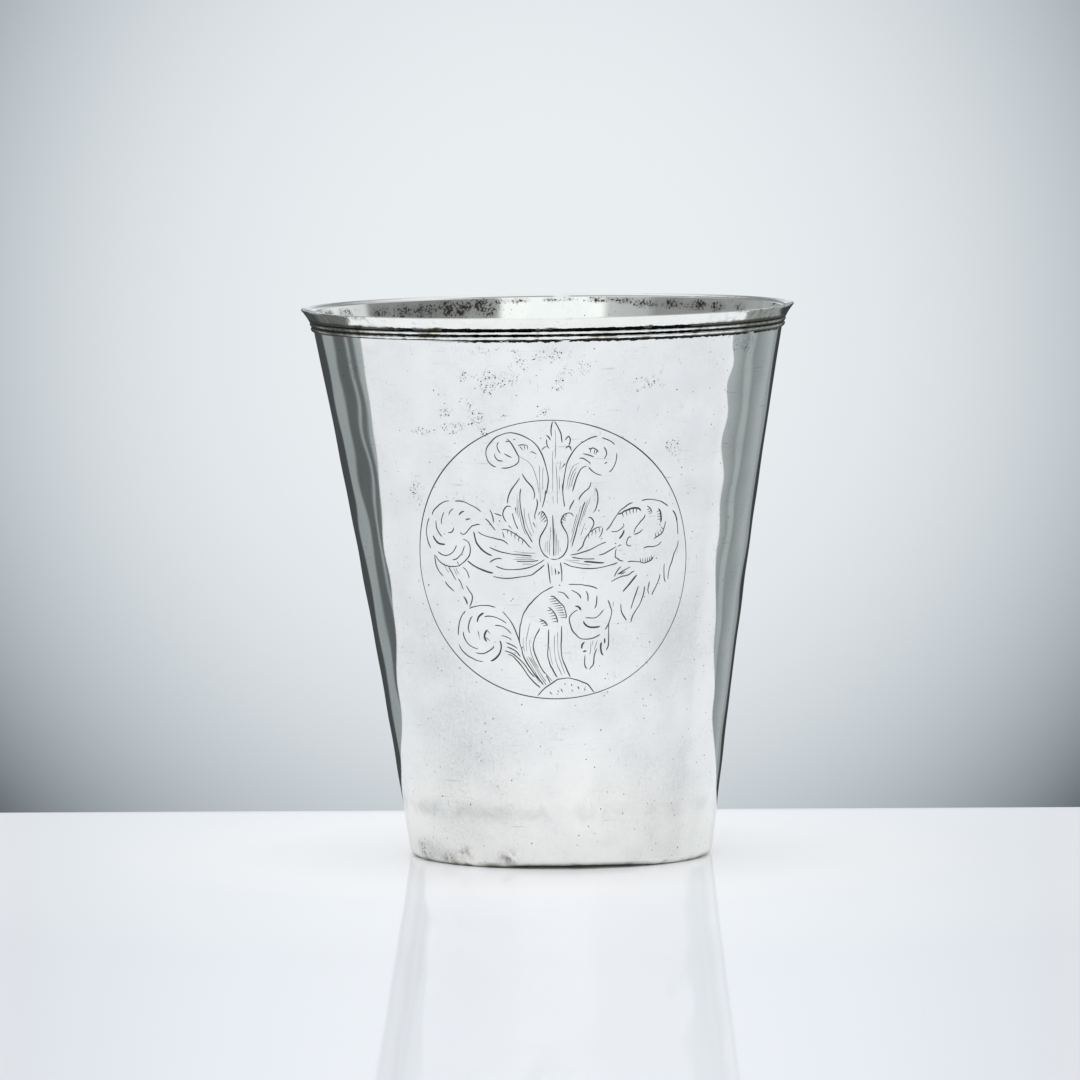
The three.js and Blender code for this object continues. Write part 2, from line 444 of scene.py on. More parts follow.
def wireSilver(name, look, blackFrom):
    material, add, place = startMaterial(name)
    crevice = add("Attribute", out="Fac", attribute_name="crevice")
    haze = blotches(add, place, look["hazeSize"], 0.45, 0.75, 5.0, 0.5)
    # the oxide's edge wanders up and down the crevice
    wander = add("TexNoise", {"Vector": place, "Scale": perSize(look["raggedSize"]), "Detail": 4.0})
    depth = add("Math", {0: wander, 1: 0.7, 2: crevice}, operation="MULTIPLY_ADD")
    black = add("MapRange", {"Value": depth, "From Min": blackFrom, "From Max": blackFrom + 0.09})
    # olive towards both flanks, left and right of the front, placed by X
    across = add("SeparateXYZ", {"Vector": place}, "X")
    flank = add("Math", {0: across}, operation="ABSOLUTE")
    flank = add("MapRange", {"Value": flank, "From Min": 0.025, "From Max": 0.036, "To Max": 0.85})
    spot = blotches(add, place, look["oliveSize"], 0.56, 0.62)
    patch = add("Math", {0: flank, 1: spot}, operation="MAXIMUM")
    # on the flanks the olive skin covers all but the rubbed crown
    start = add("MapRange", {"Value": flank, "To Min": blackFrom - 0.35, "To Max": blackFrom - 0.45})
    deep = add("Math", {0: depth, 1: start}, operation="SUBTRACT")
    olive = add("MapRange", {"Value": deep, "From Max": 0.25})
    olive = add("Math", {0: olive, 1: patch}, operation="MULTIPLY")
    kept = add("MapRange", {"Value": patch, "To Min": 1.0, "To Max": 0.62})
    black = add("Math", {0: black, 1: kept}, operation="MULTIPLY")
    nicks = specks(add, place, look["nickSpacing"], look["nickRadius"])
    nickPatch = blotches(add, place, look["nickPatch"], 0.5, 0.6, 3.0, 0.7)
    nicks = add("Math", {0: nicks, 1: nickPatch}, operation="MULTIPLY")
    black = add("Math", {0: black, 1: nicks}, operation="MAXIMUM")
    colour = layered(add, look, [(haze, "haze"), (olive, "olive"), (black, "oxide")])
    dull = add("Math", {0: olive, 1: 0.18, 2: look["roughness"]}, operation="MULTIPLY_ADD")
    roughness = add("Math", {0: black, 1: 0.35, 2: dull}, operation="MULTIPLY_ADD")
    metalSurface(add, colour, roughness, wander, look["relief"], 0.12)
    return material


# Hammered sheet silver worn satin by use: a soft mirror with grey tarnish in blotches
baseLook = {
    "silver": "e8e9e6",
    "tarnish": "a7a39a",
    "pit": "5f5850",
    "roughness": 0.2,
    "tarnishSize": 11.0,  # mm, as all sizes below
    "pitSpacing": 1.7,
    "pitRadius": 0.14,
    "pitPatch": 9.0,
    "hammerSize": 3.0,
    "relief": 0.06,
}


def baseSilver():
    look = baseLook
    material, add, place = startMaterial("worn_base_silver")
    tarnish = blotches(add, place, look["tarnishSize"], 0.42, 0.7, 6.0, 0.6)
    pits = specks(add, place, look["pitSpacing"], look["pitRadius"])
    pitPatch = blotches(add, place, look["pitPatch"], 0.45, 0.6, 3.0, 0.7)
    pits = add("Math", {0: pits, 1: pitPatch}, operation="MULTIPLY")
    colour = layered(add, look, [(tarnish, "tarnish"), (pits, "pit")])
    roughness = add("Math", {0: tarnish, 1: 0.2, 2: look["roughness"]}, operation="MULTIPLY_ADD")
    hammer = add("TexNoise", {"Vector": place, "Scale": perSize(look["hammerSize"]), "Detail": 3.0})
    metalSurface(add, colour, roughness, hammer, look["relief"], 0.25)
    return material


# Hard silver solder left as it ran: dull yellow-grey with a grainy skin
solderLook = {
    "silver": "c2bfb4",
    "flux": "86817a",
    "roughness": 0.38,
    "grainSize": 0.9,  # mm, as all sizes below
    "fluxSize": 5.0,
    "relief": 0.08,
}


def dullSolder():
    look = solderLook
    material, add, place = startMaterial("dull_hard_solder")
    grain = blotches(add, place, look["grainSize"], 0.35, 0.7, 5.0)
    flux = blotches(add, place, look["fluxSize"], 0.45, 0.68, 5.0, 0.7)
    colour = layered(add, look, [(flux, "flux")])
    roughness = add("Math", {0: grain, 1: 0.15, 2: look["roughness"]}, operation="MULTIPLY_ADD")
    metalSurface(add, colour, roughness, grain, look["relief"], 0.3)
    return material


print("finishes defined")


# The roundel's cuts: each line is a run of points (across, up), in mm from its middle
roundel = {}
roundel["upper left scroll"] = {
    "plain": [
        [-0.9, 12, -0.6, 13.5, -0.45, 15, -0.8, 17, -1.05, 18, -1.35, 19, -1.75, 19.9, -2.2, 20.7, -2.9,
         21.5, -3.65, 22.05, -4.95, 22.75, -6.05, 23.1, -7, 23.25, -8, 23.1, -9.1, 22.7, -10, 22.2, -11,
         21.1, -11.5, 20.3, -11.6, 19.3, -11.25, 18.05, -10.55, 17.3, -9.65, 16.9],
        [-9, 16.8, -7.9, 16.8, -6.95, 17.05, -6.1, 17.5, -5.65, 18.05, -5.6, 18.9, -5.8, 19.25, -6.15, 20,
         -6.7, 21, -7.15, 21.65, -7.8, 22.25],
        [-5.85, 20.85, -4.9, 21.05, -3.75, 20.85],
        [-3.7, 19.6, -3.2, 19.75, -2.25, 19.2],
        [-9.1, 21.7, -9.5, 21, -9.35, 20.15, -8.8, 19.3],
        [-10.05, 19.6, -9.95, 18.9, -9.55, 18.3, -9, 18.1, -8.35, 18.1],
        [-8.35, 19.55, -7.7, 19.1, -6.75, 18.65],
        [-8.05, 21.65, -7.2, 21.65], [-6.7, 21.95, -6, 22.05],
    ],
    "fine": [
        [-5.6, 19, -4.8, 18.5, -4, 18, -3.3, 17.2, -2.9, 16.2, -2.6, 15.1, -2.35, 14, -2.3, 12.7],
        [-5.4, 20.8, -5, 20.3], [-4.6, 20.9, -4.5, 20.4], [-4, 20.9, -4, 20.4],
    ],
}
roundel["serrated leaf"] = {
    "plain": [
        [0.62, 25.4, 0.35, 24.35, 0.25, 23.4, 0.35, 22.4],
        [-0.7, 22.85, -0.3, 22.55, 0, 22.15, 0.15, 21.7],
        [-0.55, 22.2, -0.57, 21.4, -0.42, 20.7, 0, 20.15],
        [-1.55, 19.9, -1.3, 20.3, -0.85, 20.65, -0.43, 20.7],
        [0.78, 25.4, 1.25, 24.75, 1.65, 23.9, 2, 23.05, 2.1, 22.2, 2.2, 21.2],
        [2.55, 21.7, 2.9, 22.05, 3.3, 22.5, 3.65, 22.1, 3.55, 21.3, 3.25, 20.7],
        [2.65, 20.2, 2.95, 20.5, 3.4, 20.7, 3.7, 20.3, 3.8, 19.75],
        [-1, 12.9, -1.05, 11.9, -1.35, 10.65, -1.7, 9.5],
        [2.05, 14, 2.05, 12.65, 2.15, 11.2, 2.35, 9.5],
    ],
    "fine": [
        [0.9, 24, 1.05, 22.8, 1, 20.9, 0.9, 18.3],
        [0.45, 20.2, 0.38, 16.5, 0.25, 12.3],
        [1.85, 18.3, 1.6, 16.1], [2.75, 17.7, 2.15, 17],
        [-1.95, 17.5, -2, 14, -1.95, 10.3],
        [-1.3, 17.2, -1.45, 15, -1.5, 12.5],
        [-2.25, 13.5, -2.25, 12], [0.3, 12, 0.3, 10],
        [1, 17.6, 1.1, 14, 1.05, 10],
        [1.5, 15.5, 1.5, 12.5],
    ],
}
roundel["upper right scroll"] = {
    "plain": [
        [2.05, 12.3, 2.15, 13.5, 2.3, 14.5, 2.5, 15.6, 2.7, 16.6, 2.87, 17.4, 3.2, 18.25, 3.6, 18.95,
         4.05, 19.65, 4.6, 20.35, 5.2, 20.9, 6, 21.45, 7, 22, 7.85, 22.3, 8.7, 22.4],
        [9.2, 22.2, 10.05, 21.85, 10.75, 21.55, 11.4, 21.1, 11.8, 20.6],
        [12, 19.4, 12, 18.6, 11.8, 17.65, 11.45, 16.85, 10.9, 16.05, 10.35, 15.8],
        [9.35, 15.25, 8.75, 15.35, 8.05, 15.65, 7.4, 16.15, 6.9, 16.7, 6.75, 17.05],
        [7.05, 17.1, 7.05, 17.6, 6.6, 17.95, 6.1, 18.3, 5.65, 18.5, 5, 18.4],
        [5.65, 19.25, 6.2, 19.2, 6.9, 19, 8, 18.6],
        [6.9, 20.5, 7.05, 20.1, 7.6, 20.3, 8, 20.15, 8.45, 19.8, 8.7, 19.35],
        [9.55, 20.55, 9.95, 20, 10.15, 19.2, 9.9, 18.6, 9.6, 18.05],
        [9.6, 17.3, 9.95, 17.5, 10.35, 17.75],
        [6.7, 17.05, 6, 16.9, 5.4, 16.5, 5.05, 15.9, 4.65, 15.1, 4.3, 14.1, 3.75, 12.3],
    ],
    "fine": [
        [5.4, 17.7, 4.75, 17.45, 4.05, 17.05, 3.75, 16.45, 3.4, 15.6, 3.1, 14.75, 2.87, 13.65, 2.7, 12.5],
        [4.9, 16.95, 4.3, 16.4, 3.7, 15.3, 3.25, 13.65, 3.1, 12.5],
        [4.6, 16.2, 4.1, 15.2, 3.6, 13.6, 3.4, 13],
        [7.3, 20.2, 7.2, 19.6], [8, 20, 7.9, 19.4], [8.4, 19.8, 8.2, 19.3],
    ],
}
roundel["left pointed petal"] = {
    "plain": [
        [-5.45, 15.15, -6.2, 14.1, -6.9, 13.2, -7.35, 12.45, -7.6, 11.9, -7.85, 10.95, -7.9, 10.15],
        [-5.15, 16, -4.9, 15.4, -4.35, 14.5, -3.65, 13.7, -3.2, 13, -2.95, 12, -3.05, 11.4, -3.2, 11],
        [-7.1, 9.65, -7.75, 9.85, -8.2, 9.7, -8.65, 9.05, -8.8, 8.25, -8.55, 7.5, -8.1, 6.75],
        [-2.7, 11.3, -2.5, 10.65, -2.6, 9.7, -2.9, 8.7, -3.05, 8.1, -2.95, 7.25],
        [-5.4, 13.2, -5.6, 11.9, -5.6, 10.4, -5.4, 8.55, -5.1, 7.1, -4.9, 5.9, -4.3, 4.6, -3.5, 3.05],
        [-7.1, 8.75, -6.8, 7.4, -6.4, 6.3, -6, 5.45],
    ],
    "fine": [
        [-7.9, 6.4, -7.4, 5.85],
        [-6.1, 11.9, -6.15, 9.5, -5.95, 7.4],
        [-6.5, 9.8, -6.4, 8.85],
        [-4.95, 9.8, -4.85, 8.1, -4.6, 6.7, -4.1, 5.3, -3.5, 4.2],
        [-4.2, 8.85, -4, 7.45, -3.65, 6, -3.2, 4.75],
        [-3.4, 7, -3.1, 6.3],
        [-5.8, 11.5, -5.85, 9.6, -5.6, 7.4, -5.2, 5.8, -4.6, 4.4],
    ],
}
roundel["right pointed petal"] = {
    "plain": [
        [7.2, 14.3, 7, 13.45, 6.6, 12.85, 6.2, 12.55, 5.5, 11.9, 5.05, 11.3, 4.85, 10.65],
        [7.9, 13.15, 8.2, 12.5, 8.35, 11.5, 8.3, 10.5, 8.05, 9.55, 7.75, 8.85, 7.25, 8.35],
        [4.15, 11.05, 3.75, 10.35, 3.35, 9.65, 3.15, 8.95],
        [6.1, 10.7, 5.65, 9.7, 5.3, 8.6, 5, 7.6, 4.5, 6.05, 4.2, 4.95, 3.35, 2.2],
    ],
    "fine": [
        [5.25, 10, 4.95, 8.75, 4.6, 7.5, 4.2, 6.4, 3.8, 5, 3.4, 3.7, 3.1, 2.95],
        [7.05, 11.65, 6.8, 10.65, 6.35, 9.65, 6.05, 8.85, 5.6, 7.6],
        [6, 6.85, 5.55, 5.75, 5.2, 4.75, 4.9, 4.25],
        [6.6, 11, 6.15, 9.9, 5.7, 8.6, 5.25, 7.2, 4.85, 5.9],
        [5.75, 9.9, 5.3, 8.5, 4.9, 7.2, 4.5, 5.9, 4.1, 4.6, 3.6, 3.1],
        [4.6, 8.6, 4.2, 7.3, 3.8, 6, 3.4, 4.7],
    ],
}
roundel["bud"] = {
    "plain": [
        [-2.1, 8.85, -1.75, 8.9, -1.35, 8.55, -1.1, 8.05, -0.87, 7.55, -0.82, 6.9, -1.1, 6.05, -1.55, 5.3,
         -2, 4.55, -2.2, 4.05, -2.33, 3.3, -2.25, 2.5, -2, 1.75, -1.6, 1.05, -1.1, 0.55, -0.55, 0.22],
        [-0.6, 0.24, 0, 0.08, 0.6, 0.08, 1, 0.2],
        [3.9, 7.8, 3.7, 8.2, 3.35, 8.5, 2.87, 8.5, 2.4, 8.35, 2.05, 8.1, 1.8, 7.65, 1.62, 7.15, 1.7, 6.6,
         2.03, 5.85, 2.43, 5.15, 2.7, 4.45, 2.77, 3.6, 2.7, 2.6, 2.48, 1.8, 2.1, 1.1, 1.6, 0.55, 1.1,
         0.25, 0.6, 0.1],
        [0.15, 8.4, 0.2, 4.5, 0.15, 0.5],
    ],
    "fine": [
        [-2, 8.9, -2.3, 8.4], [-1.6, 8.9, -1.9, 8.2], [-1.2, 8.5, -1.8, 7.8], [-1, 8, -1.7, 7.3],
        [-0.9, 7.4, -1.3, 7], [1.6, 7.1, 1.9, 6.8], [1.7, 7.6, 2.2, 7.2], [2, 8.1, 2.3, 7.5],
        [2.6, 8.5, 2.5, 8], [-0.3, 6.3, -0.35, 3.5],
        [-1.1, 3.5, -1.3, 2.3, -1.4, 1.2],
        [-0.9, 3.8, -0.95, 1], [-0.5, 4, -0.6, 0.6], [0.45, 6, 0.45, 0.5], [0.72, 5, 0.72, 0.6],
        [1, 4, 1, 0.8], [1.3, 2.6, 1.35, 1.2],
    ],
}
roundel["left spreading petals"] = {
    "bold": [
        [-14.5, 5.2, -14.3, 4.75, -14.2, 4.15, -14.05, 3.5, -13.85, 2.95, -13.4, 2.35, -12.85, 1.75, -12,
         1.15, -10.9, 0.65],
    ],
    "plain": [
        [-11.3, 9.3, -10.9, 8.6, -10.65, 7.7, -10.55, 6.7],
        [-10.55, 8.55, -9.9, 8.35, -8.85, 8],
        [-12.3, 7.6, -11.75, 7.25, -11.15, 6.55, -10.6, 5.8, -10.1, 5.2],
        [-9.65, 7.3, -9.2, 6.9],
        [-13.7, 5.25, -13.1, 4.75, -12, 4.3, -10.75, 4, -9.75, 3.75, -9.05, 3.6, -8.35, 3.2, -7.9, 2.65],
        [-9.2, 5.75, -9.05, 5.55, -8.15, 5.55, -7.4, 5.2, -6.65, 4.75, -5.9, 4.2, -5.1, 3.6, -4.4, 2.75,
         -3.75, 2.05],
        [-9, 5.35, -8.8, 4.6, -8.6, 3.85],
        [-11.65, 2.35, -10.5, 1.85, -9.4, 1.45, -8.15, 1.2, -7, 1, -5.4, 0.87, -3.55, 0.7],
        [-11.65, -0.65, -11.1, -0.2, -10.4, 0.13, -9.7, 0.25, -9, 0.12],
        [-10.5, -1.1, -10, -1.35, -9.45, -1.55, -8.75, -1.75, -7.6, -1.8, -6.35, -1.75, -5.2, -1.6, -4.35,
         -1.4, -3.5, -1.1, -2.7, -0.7, -2.1, -0.35, -1.45, 0.15],
        [-6.75, -0.25, -5.35, -0.3, -3.95, -0.27, -2.4, -0.1],
    ],
    "fine": [
        [-7.3, 1.6, -5.6, 1.4, -4.25, 1.25, -2.8, 1.25],
        [-7, 0.5, -5.6, 0.4, -3.5, 0.35],
        [-7.4, 0.1, -5, 0.03, -3, 0.07],
        [-5.8, -0.75, -3.3, -0.8], [-8.1, 5.5, -8, 5], [-7.4, 5.15, -7.35, 4.6], [-6.7, 4.7, -6.7, 4.1],
        [-6, 4.2, -6.05, 3.6], [-5.3, 3.7, -5.4, 3.1],
    ],
}
roundel["right spreading petals"] = {
    "bold": [
        [5.35, -0.42, 6.45, -0.48, 7.55, -0.62, 8.4, -0.7, 9.4, -0.75],
    ],
    "plain": [
        [6.4, 7.45, 6.8, 7.65, 7.2, 7.4, 7.5, 6.8, 7.4, 6.15, 7, 5.5, 6.65, 4.85, 6.2, 4.3, 5.85, 3.75,
         5.55, 3.05, 5.3, 2.35, 4.2, 1.35],
        [6.7, 4.9, 7.4, 5.4, 8.05, 5.75, 9.1, 5.9],
        [9.1, 5.9, 9, 5.1, 8.75, 4.4, 8.25, 3.75],
        [9, 3.9, 8.75, 3.5],
        [2.9, 0.8, 4.2, 1, 5.3, 1.3, 6.7, 1.75, 7.8, 2.3, 8.9, 2.8, 9.85, 3.1],
        [8.05, 0.65, 9.15, 0.9, 9.95, 1.3, 10.8, 1.75, 11.7, 2.25],
        [11.15, 2.75, 11.7, 2.7],
        [3.2, 0.45, 4, 0.3, 4.85, 0.15, 6, 0.05, 7.7, 0.05],
        [1.7, -0.5, 2.6, -0.95, 3.25, -1.25, 4, -1.4, 4.95, -1.6, 6, -1.7, 7.55, -1.7, 8.7, -1.55, 9.7,
         -1.35, 10.5, -1.15, 11.3, -0.95, 11.9, -0.65],
    ],
    "fine": [
        [1.8, 0, 3.3, -0.15, 5, -0.25],
        [2.6, -0.3, 3.3, -0.42, 4, -0.58, 4.9, -0.8, 5.9, -0.95, 6.7, -1.05, 7.1, -1.12],
        [6.5, 4.7, 6.5, 4.1], [7.2, 5.2, 7.1, 4.6], [7.8, 5.5, 7.8, 4.8], [8.4, 5.8, 8.5, 5.2],
    ],
}
roundel["left volute"] = {
    "bold": [
        [-17.25, 7.95, -17.05, 8.3, -16.75, 8.6, -16.4, 8.75, -16, 8.85],
        [-16.05, 7.1, -15.75, 7.3, -15.3, 7.4, -14.85, 7.35],
        [-22.9, 4.3, -22.65, 3.65, -22.2, 3.1, -21.75, 2.77, -21.35, 2.65, -20.85, 2.6, -20.15, 2.6],
    ],
    "plain": [
        [-22.85, 7.75, -22.65, 8.45, -22.3, 8.95, -21.6, 9.55, -21, 10, -20, 10.5, -19.35, 10.6, -18.95,
         10.65],
        [-18.1, 10.6, -17.15, 10.65, -16, 10.5, -15, 10.05, -14, 9.6, -13.25, 9.1, -12.75, 8.65],
        [-23.4, 7.5, -23.7, 7, -24, 6.2, -24.25, 5.2, -24.3, 4.6, -24.15, 3.4, -23.85, 2.45, -23.4, 1.65],
        [-20.15, 8.7, -20.5, 8.1, -20.75, 7.5, -20.9, 6.8, -20.85, 6.4, -20.75, 6.15],
        [-18.1, 9.3, -18.7, 9, -19.05, 8.6, -19.25, 8.2, -19.3, 7.85],
        [-22.05, 7.15, -22.07, 6.3, -22, 5.6, -21.75, 5.05, -21.4, 4.5, -21, 4.1, -20.75, 3.9],
        [-19.8, 4.8, -19.15, 4.8, -18.75, 4.95, -18.45, 5.4, -18.3, 5.9],
        [-22.1, 1.35, -21.6, 0.95, -20.95, 0.65, -20.15, 0.55, -19.35, 0.8, -18.65, 1.3, -18.2, 1.9,
         -17.95, 2.4, -17.9, 2.7],
        [-19, -0.2, -18.45, -0.15, -17.95, 0.03, -17.4, 0.5, -16.9, 1, -16.65, 1.5, -16.4, 2.1, -16.2,
         2.6],
        [-17.05, 5.1, -16.9, 4.7, -16.4, 4.55, -15.95, 4.8, -15.4, 5.4, -14.95, 5.9, -14.65, 6.15, -14.1,
         6.3, -13.5, 6.45, -12.95, 6.35],
        [-16.75, 3.6, -16.3, 3.6, -15.85, 3.4, -15.4, 3, -15.2, 2.45, -15.15, 1.75, -15.25, 1.05, -15.5,
         0.5, -15.95, 0, -16.35, -0.4, -17, -0.9, -17.5, -1.25, -18.3, -1.4, -19.4, -1.45, -20, -1.35,
         -20.85, -1.1, -21.55, -0.65, -22.05, -0.2, -22.65, 0.75],
    ],
}
roundel["left hanging leaf"] = {
    "bold": [
        [-16.95, -6.75, -16.5, -7.3, -16.2, -7.95, -16.1, -8.5],
    ],
    "plain": [
        [-22.75, 0.8, -22.55, -0.8, -22.35, -1.5, -22.05, -2.1, -21.6, -2.7, -20.75, -3.4],
        [-20.6, -4.1, -20.35, -4.6, -20, -5, -19.5, -5.4, -19, -5.8, -18.55, -6.1],
        [-19.75, -1.4, -19.45, -2, -19.05, -2.6, -18.75, -3.15, -18.4, -3.7, -18.1, -4.05],
        [-17.9, -3.5, -17.35, -4.25, -17.05, -5, -16.75, -5.85],
        [-17, -1.4, -16.4, -1.75, -16, -2.2, -15.75, -2.8, -15.6, -3.35, -15.55, -3.7],
        [-16.3, -4.7, -15.95, -5.35, -15.5, -6, -15.15, -6.5, -15.05, -7.05, -15.2, -7.75, -15.5, -8.45,
         -15.8, -8.95],
    ],
    "fine": [
        [-20.75, -0.6, -20.5, -1.4, -20.2, -1.95, -19.55, -2.85],
        [-18.9, -1.55, -18.5, -2.15, -18.2, -2.7, -17.9, -3.25],
        [-18.3, -1.45, -18, -2.15, -17.65, -2.7, -17.4, -2.95],
        [-17.95, -0.4, -17.6, -1],
    ],
}
roundel["left stem"] = {
    "bold": [
        [-15.95, -0.2, -15.4, -0.6, -14.8, -1.05, -13.85, -1.55, -13.1, -1.85, -12.3, -2.15, -11.6, -2.35,
         -10.75, -2.5],
    ],
    "plain": [
        [-11.15, -3, -10.6, -3.15, -9.9, -3.3, -9.05, -3.4, -8.05, -3.4, -7.35, -3.35, -6.4, -3.2, -5.7,
         -3.1, -4.7, -2.95, -4, -2.8, -3.55, -2.55, -3, -2.1, -2.45, -1.7, -1.9, -1.2, -1.45, -0.85],
    ],
}
roundel["lower left volute"] = {
    "bold": [
        [-14.3, -11.7, -14.2, -11.15, -13.95, -10.55, -13.45, -10.1, -12.8, -9.75],
        [-12.2, -12.85, -12.5, -13.05, -12.8, -13.5, -12.95, -14, -12.95, -14.4, -12.75, -14.85, -12.45,
         -15.2],
        [-12, -18.65, -11.6, -18.6, -11, -18.2, -10.55, -17.75, -10.15, -17.25, -9.95, -16.7, -9.8,
         -16.05, -9.85, -15.4, -10, -15, -10.2, -14.85],
    ],
    "plain": [
        [-15.85, -9.2, -15.35, -8.9, -14.65, -8.7, -13.7, -8.5, -12.9, -8.45, -12, -8.45, -11.1, -8.65,
         -10.55, -8.8],
        [-9.45, -9.45, -9.05, -9.85, -8.55, -10.45, -8.1, -11, -7.65, -11.7, -7.25, -12.55, -7, -13.25,
         -6.75, -13.95, -6.5, -14.7, -6.3, -15.55, -6, -16.55, -5.85, -17.4, -5.5, -18.25, -5.05, -19.1,
         -4.5, -19.95, -3.95, -20.8, -3.4, -21.5, -2.7, -22.35, -2.2, -23.1],
        [-16.35, -9.4, -16.9, -9.9, -17.4, -10.6, -17.8, -11.5, -18.05, -12.5, -18.15, -13.3, -18.2,
         -14.3],
        [-18.15, -15.6, -17.9, -16.3, -17.5, -16.9, -16.95, -17.4, -16.35, -17.85, -15.6, -18.2, -14.95,
         -18.5, -14.15, -18.75, -13.15, -18.85],
        [-15.05, -10.4, -15.5, -10.85, -15.85, -11.6, -16.05, -12.45, -16.05, -13.15, -15.7, -13.8],
        [-17.15, -13.25, -17.1, -14, -16.95, -14.5, -16.65, -15.1, -16.2, -15.65, -15.65, -16.05, -15.1,
         -16.3, -14.55, -16.45, -14.15, -16.6],
        [-13, -10.65, -12.5, -10.45, -11.85, -10.4, -11.1, -10.5, -10.55, -10.65, -9.85, -10.95, -9.15,
         -11.35, -8.6, -11.8],
        [-11.1, -12.05, -10.55, -12.1, -9.85, -12.15, -9.3, -12.35, -8.7, -12.7, -8.2, -13.2, -7.8,
         -13.7],
        [-9.95, -13.95, -9.3, -14, -8.75, -14.2, -8.25, -14.4, -7.9, -14.7, -7.7, -14.9],
        [-14.95, -17.1, -14.4, -17.3, -13.65, -17.35, -13.15, -17.3, -12.55, -17.05, -12, -16.7, -11.5,
         -16.35, -11.2, -15.95, -11.1, -15.7],
    ],
    "fine": [
        [-12.4, -13.05, -12, -13.5], [-12.8, -14.3, -12.2, -14.75], [-14.2, -13, -14, -14.1],
    ],
}
roundel["lower left stems"] = {
    "plain": [
        [-6.55, -18.95, -6.05, -19.6, -5.65, -20.2, -5.25, -20.85, -4.8, -21.5, -4.25, -22.15, -3.7,
         -22.75, -3.05, -23.3, -2.75, -23.6],
        [-1.85, -21.05, -1.45, -21.75, -1.1, -22.5, -0.95, -22.8],
        [-8.8, -17.4, -8.2, -17.45, -7.65, -17.75, -7.1, -18.35, -6.55, -18.95, -6.05, -19.6],
        [-9.35, -16.65, -8.8, -16.85, -8.1, -17.05, -7.5, -17.4, -6.85, -17.95, -6.15, -18.6, -5.65,
         -19.15, -5.2, -19.8, -4.8, -20.45, -4.25, -21.1, -3.7, -21.65],
        [-8.9, -15.95, -8.35, -16.15, -7.65, -16.45, -6.95, -16.9, -6.55, -17.45, -6.15, -17.95],
        [-9.05, -15.2, -8.5, -15.35, -7.95, -15.6, -7.25, -15.95, -6.7, -16.45],
        [-2.6, -12.4, -2.9, -13, -3.45, -13.95, -3.8, -14.95, -3.95, -15.8, -3.85, -16.65, -3.6, -17.5,
         -3.25, -18.35, -2.85, -19.35, -2.4, -20.2, -1.85, -21.05],
    ],
    "fine": [
        [-5.65, -14, -5.75, -15.3, -5.6, -16.4, -5.4, -17],
        [-4.4, -14.25, -4.6, -15.25, -4.5, -16.2, -4.35, -17.2, -4, -18.2, -3.5, -19.2, -2.95, -20],
        [-4.2, -11.35, -4.5, -11.95, -4.7, -12.65, -4.9, -13.5, -5.1, -14.3, -5.2, -15, -5.2, -16, -5.1,
         -17.1],
        [-2.8, -19.6, -2.25, -20.35, -1.7, -21.05, -1.2, -21.65, -0.85, -22.1, -0.5, -22.5],
        [-4.95, -17.5, -4.4, -18.6, -3.85, -19.55, -3.3, -20.5, -2.75, -21.5, -2.1, -22.5, -1.6, -23.2],
        [-4.6, -17.7, -4.05, -18.7, -3.5, -19.6, -2.9, -20.6, -2.3, -21.6, -1.75, -22.5],
        [-5.3, -17.6, -4.8, -18.7, -4.25, -19.7, -3.7, -20.7, -3.1, -21.7, -2.5, -22.7],
        [-5.6, -17.9, -5.1, -19, -4.5, -20, -3.9, -21, -3.3, -21.9, -2.75, -22.7],
    ],
}
roundel["lower middle stems"] = {
    "plain": [
        [1.25, -11.9, 1.2, -13, 1.15, -14.4, 1.05, -15.5, 1.05, -16.5, 1.1, -17.5, 1.3, -18.45, 1.7,
         -19.45, 2.1, -20.5, 2.55, -21.5, 2.65, -21.65],
        [-1.1, -12.55, -1.15, -14, -1.2, -15, -1.25, -15.85, -1.35, -16.7, -1.4, -17.55, -1.3, -18.1,
         -1.1, -18.85, -0.95, -19.4, -0.6, -20, -0.4, -20.45, -0.15, -20.95, 0.2, -21.55, 0.35, -21.75],
    ],
    "fine": [
        [-0.05, -13.6, -0.15, -15.25, -0.15, -16.4, -0.1, -17.5, 0.1, -18.7, 0.4, -19.6, 0.8, -20.5, 1.15,
         -21.35],
        [0.5, -12.9, 0.45, -15, 0.45, -16.2, 0.55, -17.2, 0.75, -18.2, 1, -19, 1.3, -20, 1.7, -21.2],
        [-1.05, -15.7, -0.98, -16.7, -0.88, -17.7, -0.7, -18.55, -0.5, -19.5],
    ],
}
roundel["mound"] = {
    "plain": [
        [-3.5, -25.1, -3.1, -24.65, -2.6, -24.05, -2.05, -23.55, -1.55, -23.2, -1.05, -22.85, -0.5, -22.5,
         0.2, -22, 0.95, -21.85, 1.75, -21.75, 2.45, -21.75, 3.15, -21.95, 4, -22.2, 4.8, -22.55, 5.5,
         -22.85, 5.9, -23.2, 6.25, -23.7, 6.6, -24.2, 6.9, -24.6],
        [-1.3, -24.1, -0.7, -24.85], [1.4, -22.55, 1.75, -23.1], [2.6, -22.7, 2.9, -23.35],
        [3.8, -23.15, 4.1, -23.9], [5, -23.5, 5.2, -24.2], [2.65, -23.75, 3, -24.35],
        [0.7, -23.5, 1.2, -24.45], [0.1, -23.85, 0.6, -24.45],
    ],
}
roundel["stem under the bud"] = {
    "plain": [
        [-1, -0.35, -0.85, -1.05, -0.75, -2.45, -0.65, -3.55, -0.55, -4.55],
        [1.3, -0.3, 1.4, -1.15, 1.5, -2.15, 1.5, -3.25, 1.45, -4.25],
        [0.25, -1.4, 0.4, -2, 0.4, -2.9],
        [0.9, -1.9, 0.9, -2.85],
    ],
    "fine": [
        [-0.3, -0.9, -0.25, -1.7, -0.2, -3.1],
    ],
}
